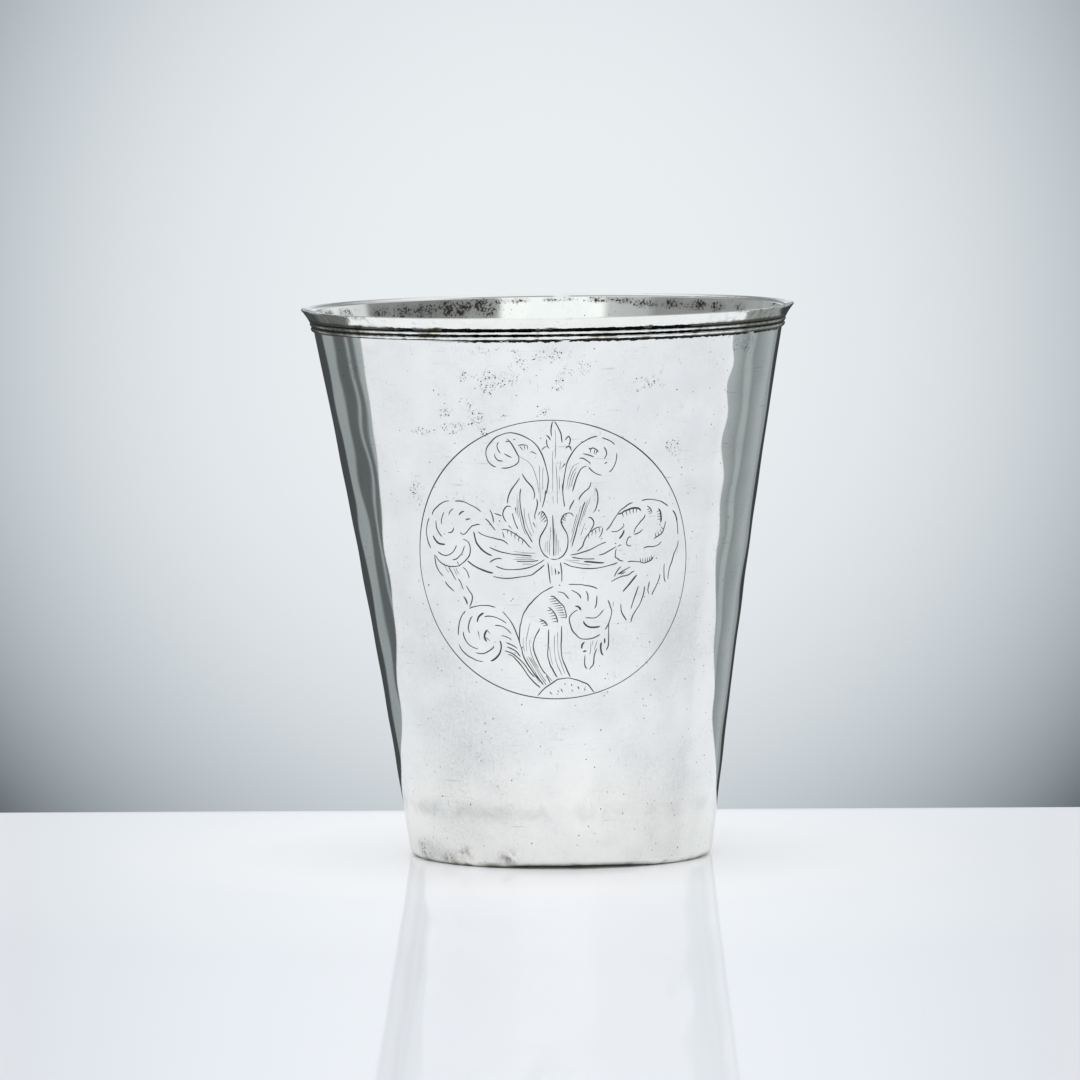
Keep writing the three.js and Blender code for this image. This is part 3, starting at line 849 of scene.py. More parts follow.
roundel["middle scroll"] = {
    "bold": [
        [5.2, -11.15, 5.25, -11.6, 5.6, -12.05, 6, -12.35, 6.55, -12.5, 7.3, -12.5, 7.8, -12.45, 8.3,
         -12.3],
        [3.6, -8.55, 4.15, -8.6, 4.5, -8.8, 4.7, -9.15, 4.85, -9.5],
    ],
    "plain": [
        [-0.85, -6.7, -0.1, -6.7, 0.3, -7.05, 0.7, -7.45, 1.1, -7.9, 1.5, -8.3, 1.8, -8.7, 1.9, -9.15,
         2.05, -9.75, 2.1, -10.5, 1.85, -10.9],
        [0.1, -4.85, -0.5, -5.1, -1.35, -5.55, -2.05, -5.95, -2.75, -6.5, -3.5, -7.2, -4.05, -7.8, -4.65,
         -8.45, -5.05, -9.1, -5.5, -9.8, -5.8, -10.65, -6, -11.5, -6.2, -12.1, -6.3, -12.95, -6.4, -14,
         -6.4, -15, -6.25, -15.8],
        [2.5, -4.55, 3.35, -4.55, 4.3, -4.6, 5.15, -4.65, 5.7, -4.8, 6.4, -4.9, 7.1, -5.1, 7.65, -5.35, 8,
         -5.55],
        [0.5, -5.85, 1.2, -5.95, 1.7, -6.1, 2.05, -6.4, 2.4, -6.85, 2.8, -7.35],
        [3, -5.5, 3.55, -5.8, 4.15, -6.15, 4.55, -6.5, 4.75, -6.85, 4.85, -7.3],
        [5.7, -5.65, 5.95, -6.15, 6.1, -6.65, 6.1, -7.2, 6.05, -7.85],
        [7.75, -6.55, 7.7, -7.4, 7.6, -8.1, 7.45, -8.75, 7.1, -9.15],
        [9.65, -7.4, 9.95, -8.05, 10.15, -8.75, 10.35, -9.3, 10.4, -9.85, 10.25, -10.55, 10, -11.3, 9.8,
         -11.85, 9.5, -12.4, 9.25, -12.8, 9.05, -13.15],
        [5.35, -10.7, 6.2, -10.75, 7.05, -10.8, 7.6, -10.65, 8.15, -10.2, 8.55, -9.75, 9.05, -9.2],
        [4.35, -9.2, 3.85, -9.4, 3.35, -9.75, 2.9, -10.2, 2.65, -10.7, 2.65, -11.3, 2.8, -11.95, 3,
         -12.65, 3.3, -13.25, 3.8, -13.8, 4.2, -14.25, 4.7, -14.55, 5.5, -14.65, 6.25, -14.6, 6.9, -14.45,
         7.6, -14.15, 8.3, -13.75],
        [-1.3, -8.7, -0.85, -8.8, -0.4, -9.2, 0, -9.7, 0.25, -10.2, 0.4, -10.7, 0.5, -11.15, 0.55,
         -11.65],
        [-2.7, -10.65, -2.35, -11, -1.95, -11.15, -1.6, -11.5, -1.35, -11.9, -1.2, -12.25],
    ],
    "fine": [
        [10.8, -7.65, 10.7, -8.5, 10.55, -9.05],
        [0.3, -7.1, -0.5, -7.2], [0.7, -7.5, -0.3, -7.6], [1.1, -7.95, 0, -8.05],
        [1.5, -8.35, 0.4, -8.45], [1.75, -8.75, 0.7, -8.85], [1.85, -9.2, 0.8, -9.25],
        [1.95, -9.65, 1, -9.7], [2.05, -10.1, 1.15, -10.15], [2.05, -10.55, 1.3, -10.6],
        [-0.45, -9.2, -1.1, -9.3], [-0.05, -9.7, -0.7, -9.8], [0.2, -10.2, -0.5, -10.3],
        [0.4, -10.75, -0.3, -10.8], [0.5, -11.3, -0.1, -11.35], [-1.95, -11.2, -2.5, -11.3],
        [-1.6, -11.55, -2.2, -11.65], [-1.35, -11.95, -1.9, -12.05],
    ],
}
roundel["hanging leaves"] = {
    "bold": [
        [5.4, -15.1, 5.1, -15.3, 4.8, -15.7, 4.75, -16.15, 4.75, -16.5],
        [4.85, -17, 5.25, -16.85, 5.7, -16.8],
        [8.4, -15.15, 8.25, -15.65, 8.2, -16.2, 8.25, -16.9, 8.4, -17.4, 8.7, -17.8],
        [8.95, -14.45, 8.97, -15, 8.95, -15.65],
    ],
    "plain": [
        [9.8, -11.85, 9.75, -13.1, 9.7, -15, 9.6, -15.95, 9.35, -16.5, 9.1, -16.95],
        [5.35, -17.4, 5.25, -18, 5.2, -18.7, 5.2, -19.35, 5.4, -19.85, 5.65, -20.25],
        [7.55, -16.25, 7.3, -16.8, 7.05, -17.45, 6.9, -18.15, 6.85, -18.85, 6.7, -19.45, 6.3, -19.85,
         6.05, -20.2, 5.9, -20.4],
    ],
    "fine": [
        [6.4, -15.05, 6.4, -15.9, 6.3, -16.9, 6.1, -17.7],
        [7.65, -14.75, 7.4, -15.5, 7.1, -16.35, 6.95, -17],
        [6.65, -14.75, 6.75, -15.3, 6.7, -16],
    ],
}
roundel["right scroll"] = {
    "bold": [
        [22.95, 8.4, 23.35, 8, 23.65, 7.5, 23.9, 6.85, 24.05, 6],
        [11.85, 8, 12.7, 8.25, 13.2, 8.6, 13.7, 8.75, 14.15, 8.9, 14.6, 9.05, 15.2, 9.1, 15.8, 9.05, 16.2,
         8.85, 16.5, 8.4],
        [19.85, 8.9, 20.1, 8.7, 20.35, 8.35, 20.5, 7.85, 20.55, 7.2, 20.55, 6.6, 20.35, 6.1],
        [13.1, 5.3, 13, 4.75, 12.7, 4.2, 12.05, 3.45],
    ],
    "plain": [
        [9.6, 5.05, 10.45, 5.95, 11.15, 7.05, 11.85, 8, 12.55, 8.85, 13.15, 9.2, 13.75, 9.65, 14.35, 9.95,
         15.05, 10.15],
        [16.45, 10.3, 16.9, 10.45, 17.55, 10.55, 18.3, 10.55, 19.1, 10.45, 19.9, 10.25, 20.5, 10.1, 21.15,
         9.75, 21.7, 9.4, 22.2, 9],
        [23.9, 6.85, 24.05, 6, 24.15, 5, 24.2, 3.95, 24.2, 3.65],
        [24.3, 2.9, 24.05, 1.75, 23.6, 0.95, 23.2, 0.25, 22.75, -1.05, 22.35, -1.85, 22.1, -2.65, 21.9,
         -3.65, 21.85, -4.5],
        [17.45, 9.45, 17.95, 9.2, 18.35, 8.9, 18.5, 8.55, 18.65, 8.2, 18.75, 8],
        [20, 5.95, 20.6, 5.6],
        [17.3, 7.95, 17.15, 7.45, 16.85, 7.05, 16.4, 6.65, 15.95, 6.15, 15.5, 5.65, 15.15, 5.1, 15, 4.6,
         14.9, 4.35],
        [14.75, 4.35, 15.25, 4.3, 15.85, 4.5, 16.3, 4.75, 16.8, 5.3],
        [14.6, 3.8, 14.15, 3.85, 13.8, 3.6, 13.6, 3.1, 13.5, 2.65, 13.7, 2.3, 14.1, 2.2, 14.65, 2.15],
        [10.45, 4.95, 11.55, 4.9, 12.25, 5.2, 12.8, 5.6, 13.25, 6.1],
        [11.65, 2, 11.4, 1.3, 11.3, 0.2, 11.5, 0.1, 11.9, -0.15, 12.1, -0.35, 12.5, -0.5, 13, -0.6],
        [11.65, 2, 12.2, 2.4, 12.7, 2.4],
        [18.8, 3.2, 19.3, 3.5, 19.8, 3.75, 20.45, 4.1, 20.85, 4.5, 21.1, 5.1, 21.35, 5.75, 21.5, 6.3,
         21.7, 6.55],
        [16.7, 1.6, 17.15, 1.8, 17.8, 1.9, 18.55, 1.85, 19.2, 1.95, 19.85, 2.15, 20.3, 2.5, 20.65, 2.8],
        [13.5, -0.85, 13.95, -0.65, 14.9, -0.68, 15.85, -0.8, 16.5, -1, 16.95, -1.05, 17.6, -0.87, 18.2,
         -0.62, 18.55, -0.35, 18.8, 0.25],
    ],
    "fine": [
        [12.8, 8.3, 12.95, 7.75], [13.5, 8.65, 13.65, 8.05], [14.2, 8.85, 14.3, 8.25],
        [14.9, 9, 14.95, 8.4], [15.6, 9, 15.55, 8.45], [18.3, 8.85, 17.8, 8.7], [18.5, 8.5, 18, 8.3],
        [18.65, 8.15, 18.15, 7.95], [20.3, 8.4, 19.8, 8.25], [20.45, 7.9, 19.95, 7.75],
        [20.5, 7.4, 20, 7.3], [20.5, 6.9, 20, 6.8], [19.4, 3.6, 19.3, 4.1], [20, 3.9, 19.85, 4.45],
        [20.6, 4.3, 20.35, 4.8], [21, 4.9, 20.6, 5.3], [16.2, -0.9, 16.1, -0.35], [16.65, -1, 16.6, -0.4],
        [17.1, -1, 17.1, -0.35], [17.5, -0.9, 17.55, -0.3], [17.95, -0.75, 18, -0.15],
        [18.3, -0.5, 18.35, 0.1],
    ],
}
roundel["right drooping leaf"] = {
    "bold": [
        [15.45, -3.05, 15.15, -3.4, 14.6, -4, 14.15, -4.5, 13.6, -5.1, 13.2, -5.5, 12.8, -5.9, 12.55,
         -6.3],
    ],
    "plain": [
        [12.5, -1.45, 12.1, -1.75, 11.65, -2.25, 11.35, -2.7, 11.1, -3.25, 11.05, -3.55],
        [11.5, -3, 12.05, -2.7, 12.6, -2.35, 13.15, -2.1, 13.7, -1.85, 14.4, -1.6],
        [12.05, -3.05, 12.75, -2.75, 13.35, -2.45],
        [10.25, -4.35, 10.85, -4, 11.45, -3.7, 12, -3.5, 12.55, -3.3, 13.1, -3.25, 13.7, -3.1, 14.05,
         -2.9, 14.5, -2.6, 15.1, -2.4],
        [12.15, -8.15, 12.15, -8.7, 12.2, -9.55, 12.4, -10.15, 12.75, -10.75, 13, -11.15, 13.25, -11.6],
        [15.75, -5.1, 15.45, -5.7, 15.2, -6.35, 14.8, -7.3, 14.5, -8.1, 14.2, -8.95, 13.95, -9.6],
        [16.9, -5.15, 16.75, -6.3, 16.5, -7.1, 16.25, -7.7, 16, -8.25, 15.7, -8.85, 15.2, -9.45, 14.85,
         -9.95, 14.45, -10.5, 14.2, -11.1, 13.95, -12],
        [17.95, -4.35, 17.8, -4.95, 17.65, -5.5, 17.55, -6.05, 17.65, -6.55, 17.8, -6.95],
        [20.15, -3.05, 20.05, -3.75, 19.8, -4.4, 19.4, -5.2, 19, -5.9, 18.55, -6.6, 18.35, -7.2],
        [21.1, -1.2, 21, -2.1, 21, -3.25, 21.05, -4.1, 21.25, -4.65, 21.4, -5],
    ],
    "fine": [
        [11.75, -3, 12.75, -2.5],
    ],
}


# How the burin cut the roundel
engraving = {
    "width": {"fine": 0.15, "plain": 0.265, "bold": 0.4},  # width of a cut, mm
    "tickWidth": 0.27,  # a short fine cut is a tick, wide at its start
    "tickLength": 1.3,
    "tickStretch": 1.75,
    "tickStep": 0.4,  # distance between points along a tick, as a share of its length
    "tickRise": 0.12,  # length in which a tick reaches its width
    "slope": 0.62,  # depth of a cut for each mm of half its width
    "step": 0.4,  # distance between points along a cut
    "taper": 0.5,  # length over which a cut runs out at its ends
    "mostTaper": 0.4,  # and the most of its whole length
    "waver": 0.12,  # a cut's width wavers by this share
    "waverTurn": 1.1,  # radians of the waver to each mm
    "least": 0.0005,  # a spot this deep is in a cut
    "blackened": 0.085,  # a spot this deep holds all the oxide it can
    "merge": 0.004,  # points closer than this are one
    "centreHeight": 56.4,
    "centreAngle": -0.0046,
    "fall": 0.9877,  # height gained for each mm along the leaning wall
}
# The roundel's circle, scribed with a compass from its upper right; its end runs past its start
circle = {
    "start": 0.16,  # radians from the top
    "overrun": 0.5,
    "points": 440,
    "halfAcross": 26.03,
    "halfUp": 25.45,
    "lift": -0.05,
    "drift": 0.07,  # the compass opens by this on its way round
    "halfWidth": 0.11,
    "heavier": [(5.3, 0.45, 0.05), (0.75, 0.35, 0.05), (3.6, 0.6, 0.03)],  # turn, reach, added half width
    "ends": 40,  # it reaches its full width a fortieth of its length from each end
}


def smoothLine(numbers, step):
    # curve through given points (across, up), each span a cubic whose ends follow the neighbours
    points = np.array(numbers, float).reshape(-1, 2)
    ends = np.vstack([2 * points[0] - points[1], points, 2 * points[-1] - points[-2]])
    chords = np.hypot(*np.diff(points, axis=0).T)
    counts = np.maximum(2 if len(points) == 2 else 1, np.ceil(chords / step)).astype(int)
    span = np.repeat(np.arange(len(chords)), counts)
    first = np.repeat(np.cumsum(counts) - counts, counts)
    t = ((np.arange(counts.sum()) - first) / np.repeat(counts, counts))[:, None]
    a, b, c, d = ends[span], ends[span + 1], ends[span + 2], ends[span + 3]
    curve = b + 0.5 * t * (c - a + t * (2 * a - 5 * b + 4 * c - d + t * (3 * b - a - 3 * c + d)))
    return np.vstack([curve, points[-1:]])


def cutLine(numbers, weight, count):
    # one cut: its centre line, with half its width at each point, running out to nothing at both ends
    ends = np.array(numbers, float).reshape(-1, 2)
    reach = ends[-1] - ends[0]
    tick = weight == "fine" and len(ends) == 2 and np.hypot(*reach) < engraving["tickLength"]
    if tick:
        numbers = np.vstack([ends[0], ends[0] + reach * engraving["tickStretch"]])
    step = np.hypot(*reach) * engraving["tickStep"] if tick else engraving["step"]
    centre = smoothLine(numbers, step)
    along = np.concatenate([[0], np.cumsum(np.hypot(*np.diff(centre, axis=0).T))])
    if tick:
        profile = np.clip(along / engraving["tickRise"], 0, 1) * (1 - along / along[-1]) ** 0.5
        return centre, engraving["tickWidth"] / 2 * profile
    fromEnd = np.minimum(along, along[-1] - along)
    taper = min(engraving["taper"], along[-1] * engraving["mostTaper"])
    waver = engraving["waver"] * np.sin(along * engraving["waverTurn"] + count)
    profile = np.clip(fromEnd / taper, 0, 1) ** 0.5 * (1 + waver)
    return centre, engraving["width"][weight] / 2 * profile


def cutLines():
    cuts = []
    for motif in roundel.values():
        for weight, lines in motif.items():
            for numbers in lines:
                cuts.append(cutLine(numbers, weight, len(cuts)))
    cuts.append(scribedCircle())
    return cuts


def scribedCircle():
    # an ellipse on the unrolled wall that widens as it goes round, with its heavier stretches
    turn = np.linspace(circle["start"], 2 * math.pi + circle["overrun"], circle["points"])
    share = np.linspace(0, 1, circle["points"])
    across = (circle["halfAcross"] + circle["drift"] * share) * np.sin(turn)
    up = circle["lift"] + (circle["halfUp"] + circle["drift"] * share) * np.cos(turn)
    half = np.full(turn.shape, circle["halfWidth"])
    for middle, reach, added in circle["heavier"]:
        half = half + added * np.exp(-((turn - middle) / reach) ** 2)
    half = half * np.clip(circle["ends"] * np.minimum(share, 1 - share), 0, 1) ** 0.5
    return np.stack([across, up], 1), half


def cutDepth(across, up, cuts):
    # depth of the deepest cut at each point: a V whose depth falls evenly from its centre line to its edge
    depth = np.zeros(across.shape)
    for centre, half in cuts:
        reach = half.max()
        low, high = centre.min(0) - reach, centre.max(0) + reach
        near = np.nonzero((across > low[0]) & (across < high[0]) & (up > low[1]) & (up < high[1]))[0]
        if near.size == 0:
            continue
        here = np.stack([across[near], up[near]], 1)[:, None]
        start, run = centre[None, :-1], np.diff(centre, axis=0)[None]
        t = np.clip(((here - start) * run).sum(-1) / (run ** 2).sum(-1), 0, 1)
        gap = np.hypot(*np.moveaxis(here - start - t[..., None] * run, -1, 0))
        room = (half[:-1] * (1 - t) + half[1:] * t - gap).max(1)
        depth[near] = np.maximum(depth[near], engraving["slope"] * room)
    return depth


# The wall: the section of the solid, finer, with planishing marks and the engraved roundel
wall = {
    "rows": 98,  # steps up the outside
    "insideRows": 56,
    "mouthRows": 8,
    "footRows": 10,
    "bendRows": 7,
    "rowsTop": 95.0,  # height of the last even step outside
    "mouldingRows": [95.3, 95.5, 95.7, 96, 97.2, 98.2, 99],  # steps behind the mouldings
    "mouthLow": 95.2,  # the inside has closer steps above this
    "seam": (98.4, 99),  # between these heights the wall comes out to meet the lip
    "seatStep": 0.6,  # the seat's one step, in from the bend
    "hammerSize": 11.0,  # size of the planishing marks, mm
    "hammerDepth": 0.025,
    "hammerFade": (2.5, 9, 89, 95),  # heights between which the marks come in, and go
    "outsideSeed": 11,
    "insideSeed": 23,
    "footLift": 0.55,  # the worn front of the foot stands this far off the table
    "wornTurn": 0.1,  # middle of the wear, and its reach, in radians
    "wornReach": 0.5,
    "wornTop": (0.05, 2.4),  # heights between which the wear runs out
    "patchTurn": 32,  # columns to each side of the front that carry the roundel
    "patchLow": 28.0,
    "patchHigh": 84.5,
    # spoiled places: (turn in radians, height, half width, half height, strength)
    "pitted": [
        (-0.26, 88.3, 3, 4, 0.84), (-0.18, 89, 3, 2, 0.8), (-0.115, 92, 3, 2.5, 0.8),
        (0.034, 88, 2.2, 2.2, 0.8), (0.01, 93.2, 5, 2, 0.74), (-0.385, 89.5, 2.2, 2, 0.78),
        (-0.37, 85, 2.5, 2, 0.76), (0.12, 91, 8, 4, 0.6), (-0.48, 82.9, 3, 1.6, 0.8),
        (-0.455, 80.2, 3, 2, 0.86), (-0.6, 79.5, 4.5, 1.2, 0.82), (-0.335, 82, 2.5, 2.5, 0.8),
        (-0.31, 79.5, 1.5, 1.5, 0.76), (-0.25, 94, 9, 2, 0.6), (-1.03, 90, 6, 5, 0.68),
        (1.0, 93.5, 7, 3, 0.7), (0.45, 88, 8, 4, 0.56), (0.6, 75.5, 3, 4, 0.7), (-0.7, 68.5, 3, 5, 0.66),
        (0.3, 35.3, 2.5, 1.5, 0.74), (-0.03, 83, 2, 1.2, 0.74), (-0.21, 82.5, 2.5, 1, 0.72),
        (-1.11, 2.0, 2.5, 1.6, 0.85), (-0.83, 1.3, 1.5, 1.0, 0.8), (-0.67, 2.4, 1.5, 1.0, 0.75),
        (-0.36, 1.8, 1.5, 1.5, 0.8), (-0.5, 20, 8, 6, 0.42), (2.3, 88, 12, 6, 0.66),
        (-2.2, 80, 10, 8, 0.6), (3.1, 60, 8, 10, 0.48),
    ],
    "stained": [
        (-2.86, 97.7, 5, 2.6, 0.95), (-2.72, 97.7, 5, 2.4, 0.97), (-2.58, 97.4, 4, 2.1, 0.9),
        (-2.45, 97.3, 4, 1.9, 0.92), (-2.32, 97.7, 4, 1.7, 0.86), (-2.06, 98.0, 4, 1.5, 0.84),
        (-1.9, 98.1, 4, 1.4, 0.84), (-3.0, 98.9, 5, 0.8, 0.88), (3.1, 99.0, 6, 0.6, 0.82),
        (2.9, 98.9, 4, 0.8, 0.95), (2.8, 98.7, 3, 0.9, 0.86), (2.68, 98.2, 4, 1.2, 0.88),
        (2.55, 98.2, 4, 1.3, 0.88), (2.42, 98.0, 4, 1.4, 0.88), (2.3, 97.9, 3, 1.4, 0.84),
        (2.15, 98.0, 3, 1.2, 0.75), (0.3, 95, 14, 2.5, 0.76), (-1.0, 94, 10, 3, 0.74),
        (1.4, 96, 10, 2, 0.78),
    ],
    # dull patches; those low on the left of the front are painted shade, for a darker reflection
    "dullAndShade": [
        (-0.6, 22, 10, 12, 0.7), (-0.6, 10, 10, 6, 0.6), (-1.0, 2, 6, 2.5, 0.9), (-0.75, 38, 7, 8, 0.5),
        (0.72, 42, 7, 8, 0.6), (-0.5, 10.5, 12, 2.5, 0.5), (-0.45, 15, 10, 4.5, 0.45),
        (0.75, 13, 10, 9, 0.45), (0.2, 70, 20, 9, 0.15), (2.6, 30, 18, 13, 0.6), (-2.3, 55, 15, 12, 0.5),
        (3.0, 82, 13, 7, 0.4), (1.6, 60, 9, 14, 0.4), (-1.6, 20, 9, 12, 0.5),
    ],
}


def spoiledPlaces(places, angle, z):
    # soft oval spots on the turned wall, each strongest at its middle
    total = np.zeros(angle.shape)
    for turn, rise, halfWidth, halfHeight, strength in places:
        across = (np.mod(angle - turn + math.pi, 2 * math.pi) - math.pi) * wallRadius(z) / halfWidth
        total = np.maximum(total, strength * np.exp(-across ** 2 - ((z - rise) / halfHeight) ** 2))
    return total


def planished(angle, z, seed):
    # planishing marks that fade out towards the foot and the mouldings
    start, full, falling, gone = wall["hammerFade"]
    fade = ease(start, full, z) * (1 - ease(falling, gone, z))
    return fade * hammerWaves(angle, z, seed, wall["hammerSize"], wall["hammerDepth"])


def outsidePoint(angle, z):
    return turned(wallRadius(z) + planished(angle, z, wall["outsideSeed"]), angle, z)


def outsideNormal(angle, z):
    # across the slopes of the wall along its turn and up its height
    littleTurn, littleRise = 0.001, 0.03
    alongTurn = outsidePoint(angle + littleTurn, z) - outsidePoint(angle - littleTurn, z)
    alongRise = outsidePoint(angle, z + littleRise) - outsidePoint(angle, z - littleRise)
    normal = np.cross(alongTurn, alongRise)
    return normal / np.linalg.norm(normal, axis=-1, keepdims=True)


def wallSection():
    # radius and height of every ring, from the seat's inner edge up the outside and back down the inside
    foot = np.linspace(-math.pi / 2, -wallLean, wall["footRows"])[:-1]
    bend = np.linspace(-wallLean, -math.pi / 2, wall["bendRows"])[1:]
    even = np.linspace(edgeTop, wall["rowsTop"], wall["rows"])
    outsideZ = np.concatenate([even, wall["mouldingRows"], [bevelHeight(wallRadius(height))]])
    nearMouth = np.linspace(height - cup["mouthBevel"], wall["mouthLow"], wall["mouthRows"])[:-1]
    insideZ = np.concatenate([nearMouth, np.linspace(wall["mouthLow"], bendTop, wall["insideRows"])])
    seatMiddle = edgeCentre - wall["seatStep"]
    r = np.concatenate([
        [seatInner, seatMiddle],
        edgeCentre + footEdge * np.cos(foot),
        wallRadius(outsideZ) + 0.9 * film * ease(*wall["seam"], outsideZ),  # meets the lip in a closed seam
        insideRadius(insideZ),
        edgeCentre + cup["footBend"] * np.cos(bend),
        [seatMiddle, seatInner],
    ])
    z = np.concatenate([
        [0, 0],
        footEdge + footEdge * np.sin(foot),
        outsideZ,
        insideZ,
        footEdge + cup["footBend"] * np.sin(bend),
        [cup["sheet"], cup["sheet"]],
    ])
    firstOut = 2 + len(foot)
    firstIn = firstOut + len(outsideZ)
    return r, z, outsideZ, firstOut, firstIn, firstIn + len(insideZ)


def unrolled(angle, z):
    # the wall laid flat, in mm
    return np.stack([angle * cup["meanRadius"], z], 1)


def cutOutlines(cuts, count):
    # each cut's centre line and both its edges on the unrolled wall: points, numbered from count, and lines
    flat, edges = [], []
    for centre, half in cuts:
        tangent = np.gradient(centre, axis=0)
        tangent /= np.linalg.norm(tangent, axis=1, keepdims=True)
        aside = np.stack([-tangent[:, 1], tangent[:, 0]], 1) * half[:, None]
        size = len(centre)
        corners = np.vstack([centre, (centre + aside)[1:-1], (centre - aside)[1:-1]])
        inner = np.arange(1, size - 1)
        chains = [
            np.arange(size),
            np.concatenate([[0], inner + size - 1, [size - 1]]),
            np.concatenate([[0], inner + 2 * size - 3, [size - 1]]),
        ]
        cutZ = engraving["centreHeight"] + engraving["fall"] * corners[:, 1]
        flat.append(unrolled(engraving["centreAngle"] + corners[:, 0] / wallRadius(cutZ), cutZ))
        edges += [np.stack([chain[:-1], chain[1:]], 1) + count for chain in chains]
        count += len(corners)
    return flat, edges


def depthOnWall(angle, z, cuts):
    up = (z - engraving["centreHeight"]) / engraving["fall"]
    return cutDepth((angle - engraving["centreAngle"]) * wallRadius(z), up, cuts)


def setNormals(mesh, points, normal, quads, onOutside, triangles, inCut):
    # the wall's own normals on its outside, each cut's flat sides, and Blender's wherever they stay at zero
    quadNormal = normal[quads] * onOutside[:, None, None]
    a, b, c = points[triangles[:, 0]], points[triangles[:, 1]], points[triangles[:, 2]]
    side = np.cross(b - a, c - a)
    side /= np.maximum(np.linalg.norm(side, axis=1, keepdims=True), 1e-15)
    triangleNormal = np.where(inCut[:, None, None], side[:, None], normal[triangles])
    mesh.normals_split_custom_set(np.vstack([quadNormal.reshape(-1, 3), triangleNormal.reshape(-1, 3)]))


def bodyWall():
    r, z, outsideZ, firstOut, firstIn, lastIn = wallSection()
    angle, gridZ = np.meshgrid(angles, z)
    # the foot's front edge is worn, so that it stands a little off the table there
    worn = np.exp(-((angle[:firstIn] - wall["wornTurn"]) / wall["wornReach"]) ** 4)
    worn = worn * (1 - ease(*wall["wornTop"], gridZ[:firstIn]))
    gridZ[:firstIn] += wall["footLift"] * worn
    radius = np.repeat(r[:, None], columns, 1)
    out, within = slice(firstOut, firstIn), slice(firstIn, lastIn)
    radius[out] += planished(angle[out], gridZ[out], wall["outsideSeed"])
    radius[within] += planished(angle[within], gridZ[within], wall["insideSeed"])
    points = turned(radius, angle, gridZ).reshape(-1, 3)
    quads = ringQuads(len(z), True)
    # the part of the outside grid that carries the roundel is meshed again along every cut
    low = firstOut + np.searchsorted(outsideZ, wall["patchLow"])
    high = firstOut + np.searchsorted(outsideZ, wall["patchHigh"])
    left, right = columns // 2 - wall["patchTurn"], columns // 2 + wall["patchTurn"]
    quadRow, quadColumn = np.divmod(np.arange(len(quads)), columns)
    quads = quads[~((quadRow >= low) & (quadRow < high) & (quadColumn >= left) & (quadColumn < right))]
    patchRow, patchColumn = np.meshgrid(np.arange(low, high + 1), np.arange(left, right + 1), indexing="ij")
    patchIndex = (patchRow * columns + patchColumn).ravel()
    cuts = cutLines()
    flat, edges = cutOutlines(cuts, len(patchIndex))
    flat = np.vstack([unrolled(angle.ravel()[patchIndex], gridZ.ravel()[patchIndex]), *flat])
    made = delaunay_2d_cdt(flat.tolist(), np.vstack(edges).tolist(), [], 0, engraving["merge"], True)
    spot = np.array([tuple(v) for v in made[0]])
    triangles = np.array(made[2])
    origin = np.array([min(ids) if ids else -1 for ids in made[3]])
    spotAngle, spotZ = spot[:, 0] / cup["meanRadius"], spot[:, 1]
    sunk = depthOnWall(spotAngle, spotZ, cuts)
    middle = spot[triangles].mean(1)
    inCut = depthOnWall(middle[:, 0] / cup["meanRadius"], middle[:, 1], cuts) > engraving["least"]
    patchPoints = outsidePoint(spotAngle, spotZ) - outsideNormal(spotAngle, spotZ) * (sunk * mm)[:, None]
    # corners on the patch's border are the grid's own, so that the wall stays closed
    border = (patchRow == low) | (patchRow == high) | (patchColumn == left) | (patchColumn == right)
    borderSpot = (origin >= 0) & (origin < len(patchIndex))
    borderSpot[borderSpot] = border.ravel()[origin[borderSpot]]
    number = len(points) + np.arange(len(spot))
    number[borderSpot] = patchIndex[origin[borderSpot]]
    triangles = number[triangles]
    points = np.vstack([points, patchPoints])
    mesh, used = makeMesh("beaker_wall", points, quads, triangles)
    allAngle = np.concatenate([angle.ravel(), spotAngle])
    allZ = np.concatenate([gridZ.ravel(), spotZ])
    outside = np.zeros(len(points), bool)
    outside[firstOut * columns:firstIn * columns] = True
    outside[gridZ.size:] = True
    normal = np.zeros((len(points), 3))
    normal[outside] = outsideNormal(allAngle[outside], allZ[outside])
    setNormals(mesh, points, normal, quads, outside[quads].all(1), triangles, inCut)
    ringNumber = np.arange(len(z)).repeat(columns)
    inside = np.concatenate([(ringNumber >= firstIn) * 1.0, np.zeros(len(spot))])
    burin = np.concatenate([np.zeros(gridZ.size), np.clip(sunk / engraving["blackened"], 0, 1)])
    paint(mesh, "rise", allZ[used])
    paint(mesh, "inside", inside[used])
    paint(mesh, "burinLine", burin[used])
    outsideSpots = spoiledPlaces(wall["pitted"], allAngle, allZ)
    insideSpots = spoiledPlaces(wall["stained"], allAngle, allZ)
    paint(mesh, "spoiled", np.where(inside > 0.5, insideSpots, outsideSpots)[used])
    # dull patches, and painted shade low on the left of the front
    paint(mesh, "dullAndShade", spoiledPlaces(wall["dullAndShade"], allAngle, allZ)[used])
    print("engraved cuts", len(cuts), "patch triangles", len(triangles))
    return mesh


# The lip: a wedge-section wire, hollow on its flared face, a little taller than the solid's
lip = {
    "height": 2.34,
    "foot": 0.4,  # thickness at its lower edge
    "overhang": 1.45,
    "hollow": 0.1,
    "land": 0.25,  # narrow upright edge at the tip
    "rounding": 0.1,
    "seamRounding": 0.005,  # stays sharp, where the lip meets the wall
    "tipStep": 0.3,  # step in from the tip along the bevel
    "flareRows": 7,
    "crevice": (-0.05, 0.75),  # from and to these heights above its lower edge the oxide runs out
}
lipTip = cup["rimDiameter"] / 2 + lip["overhang"]
mouthInner = float(insideRadius(height - cup["mouthBevel"]))
lipBottom = height - lip["height"]


def bevelHeight(r):
    # the mouth's bevel falls evenly from the lip's tip to the wall's inner edge
    return height - cup["mouthBevel"] * (lipTip - r) / (lipTip - mouthInner)


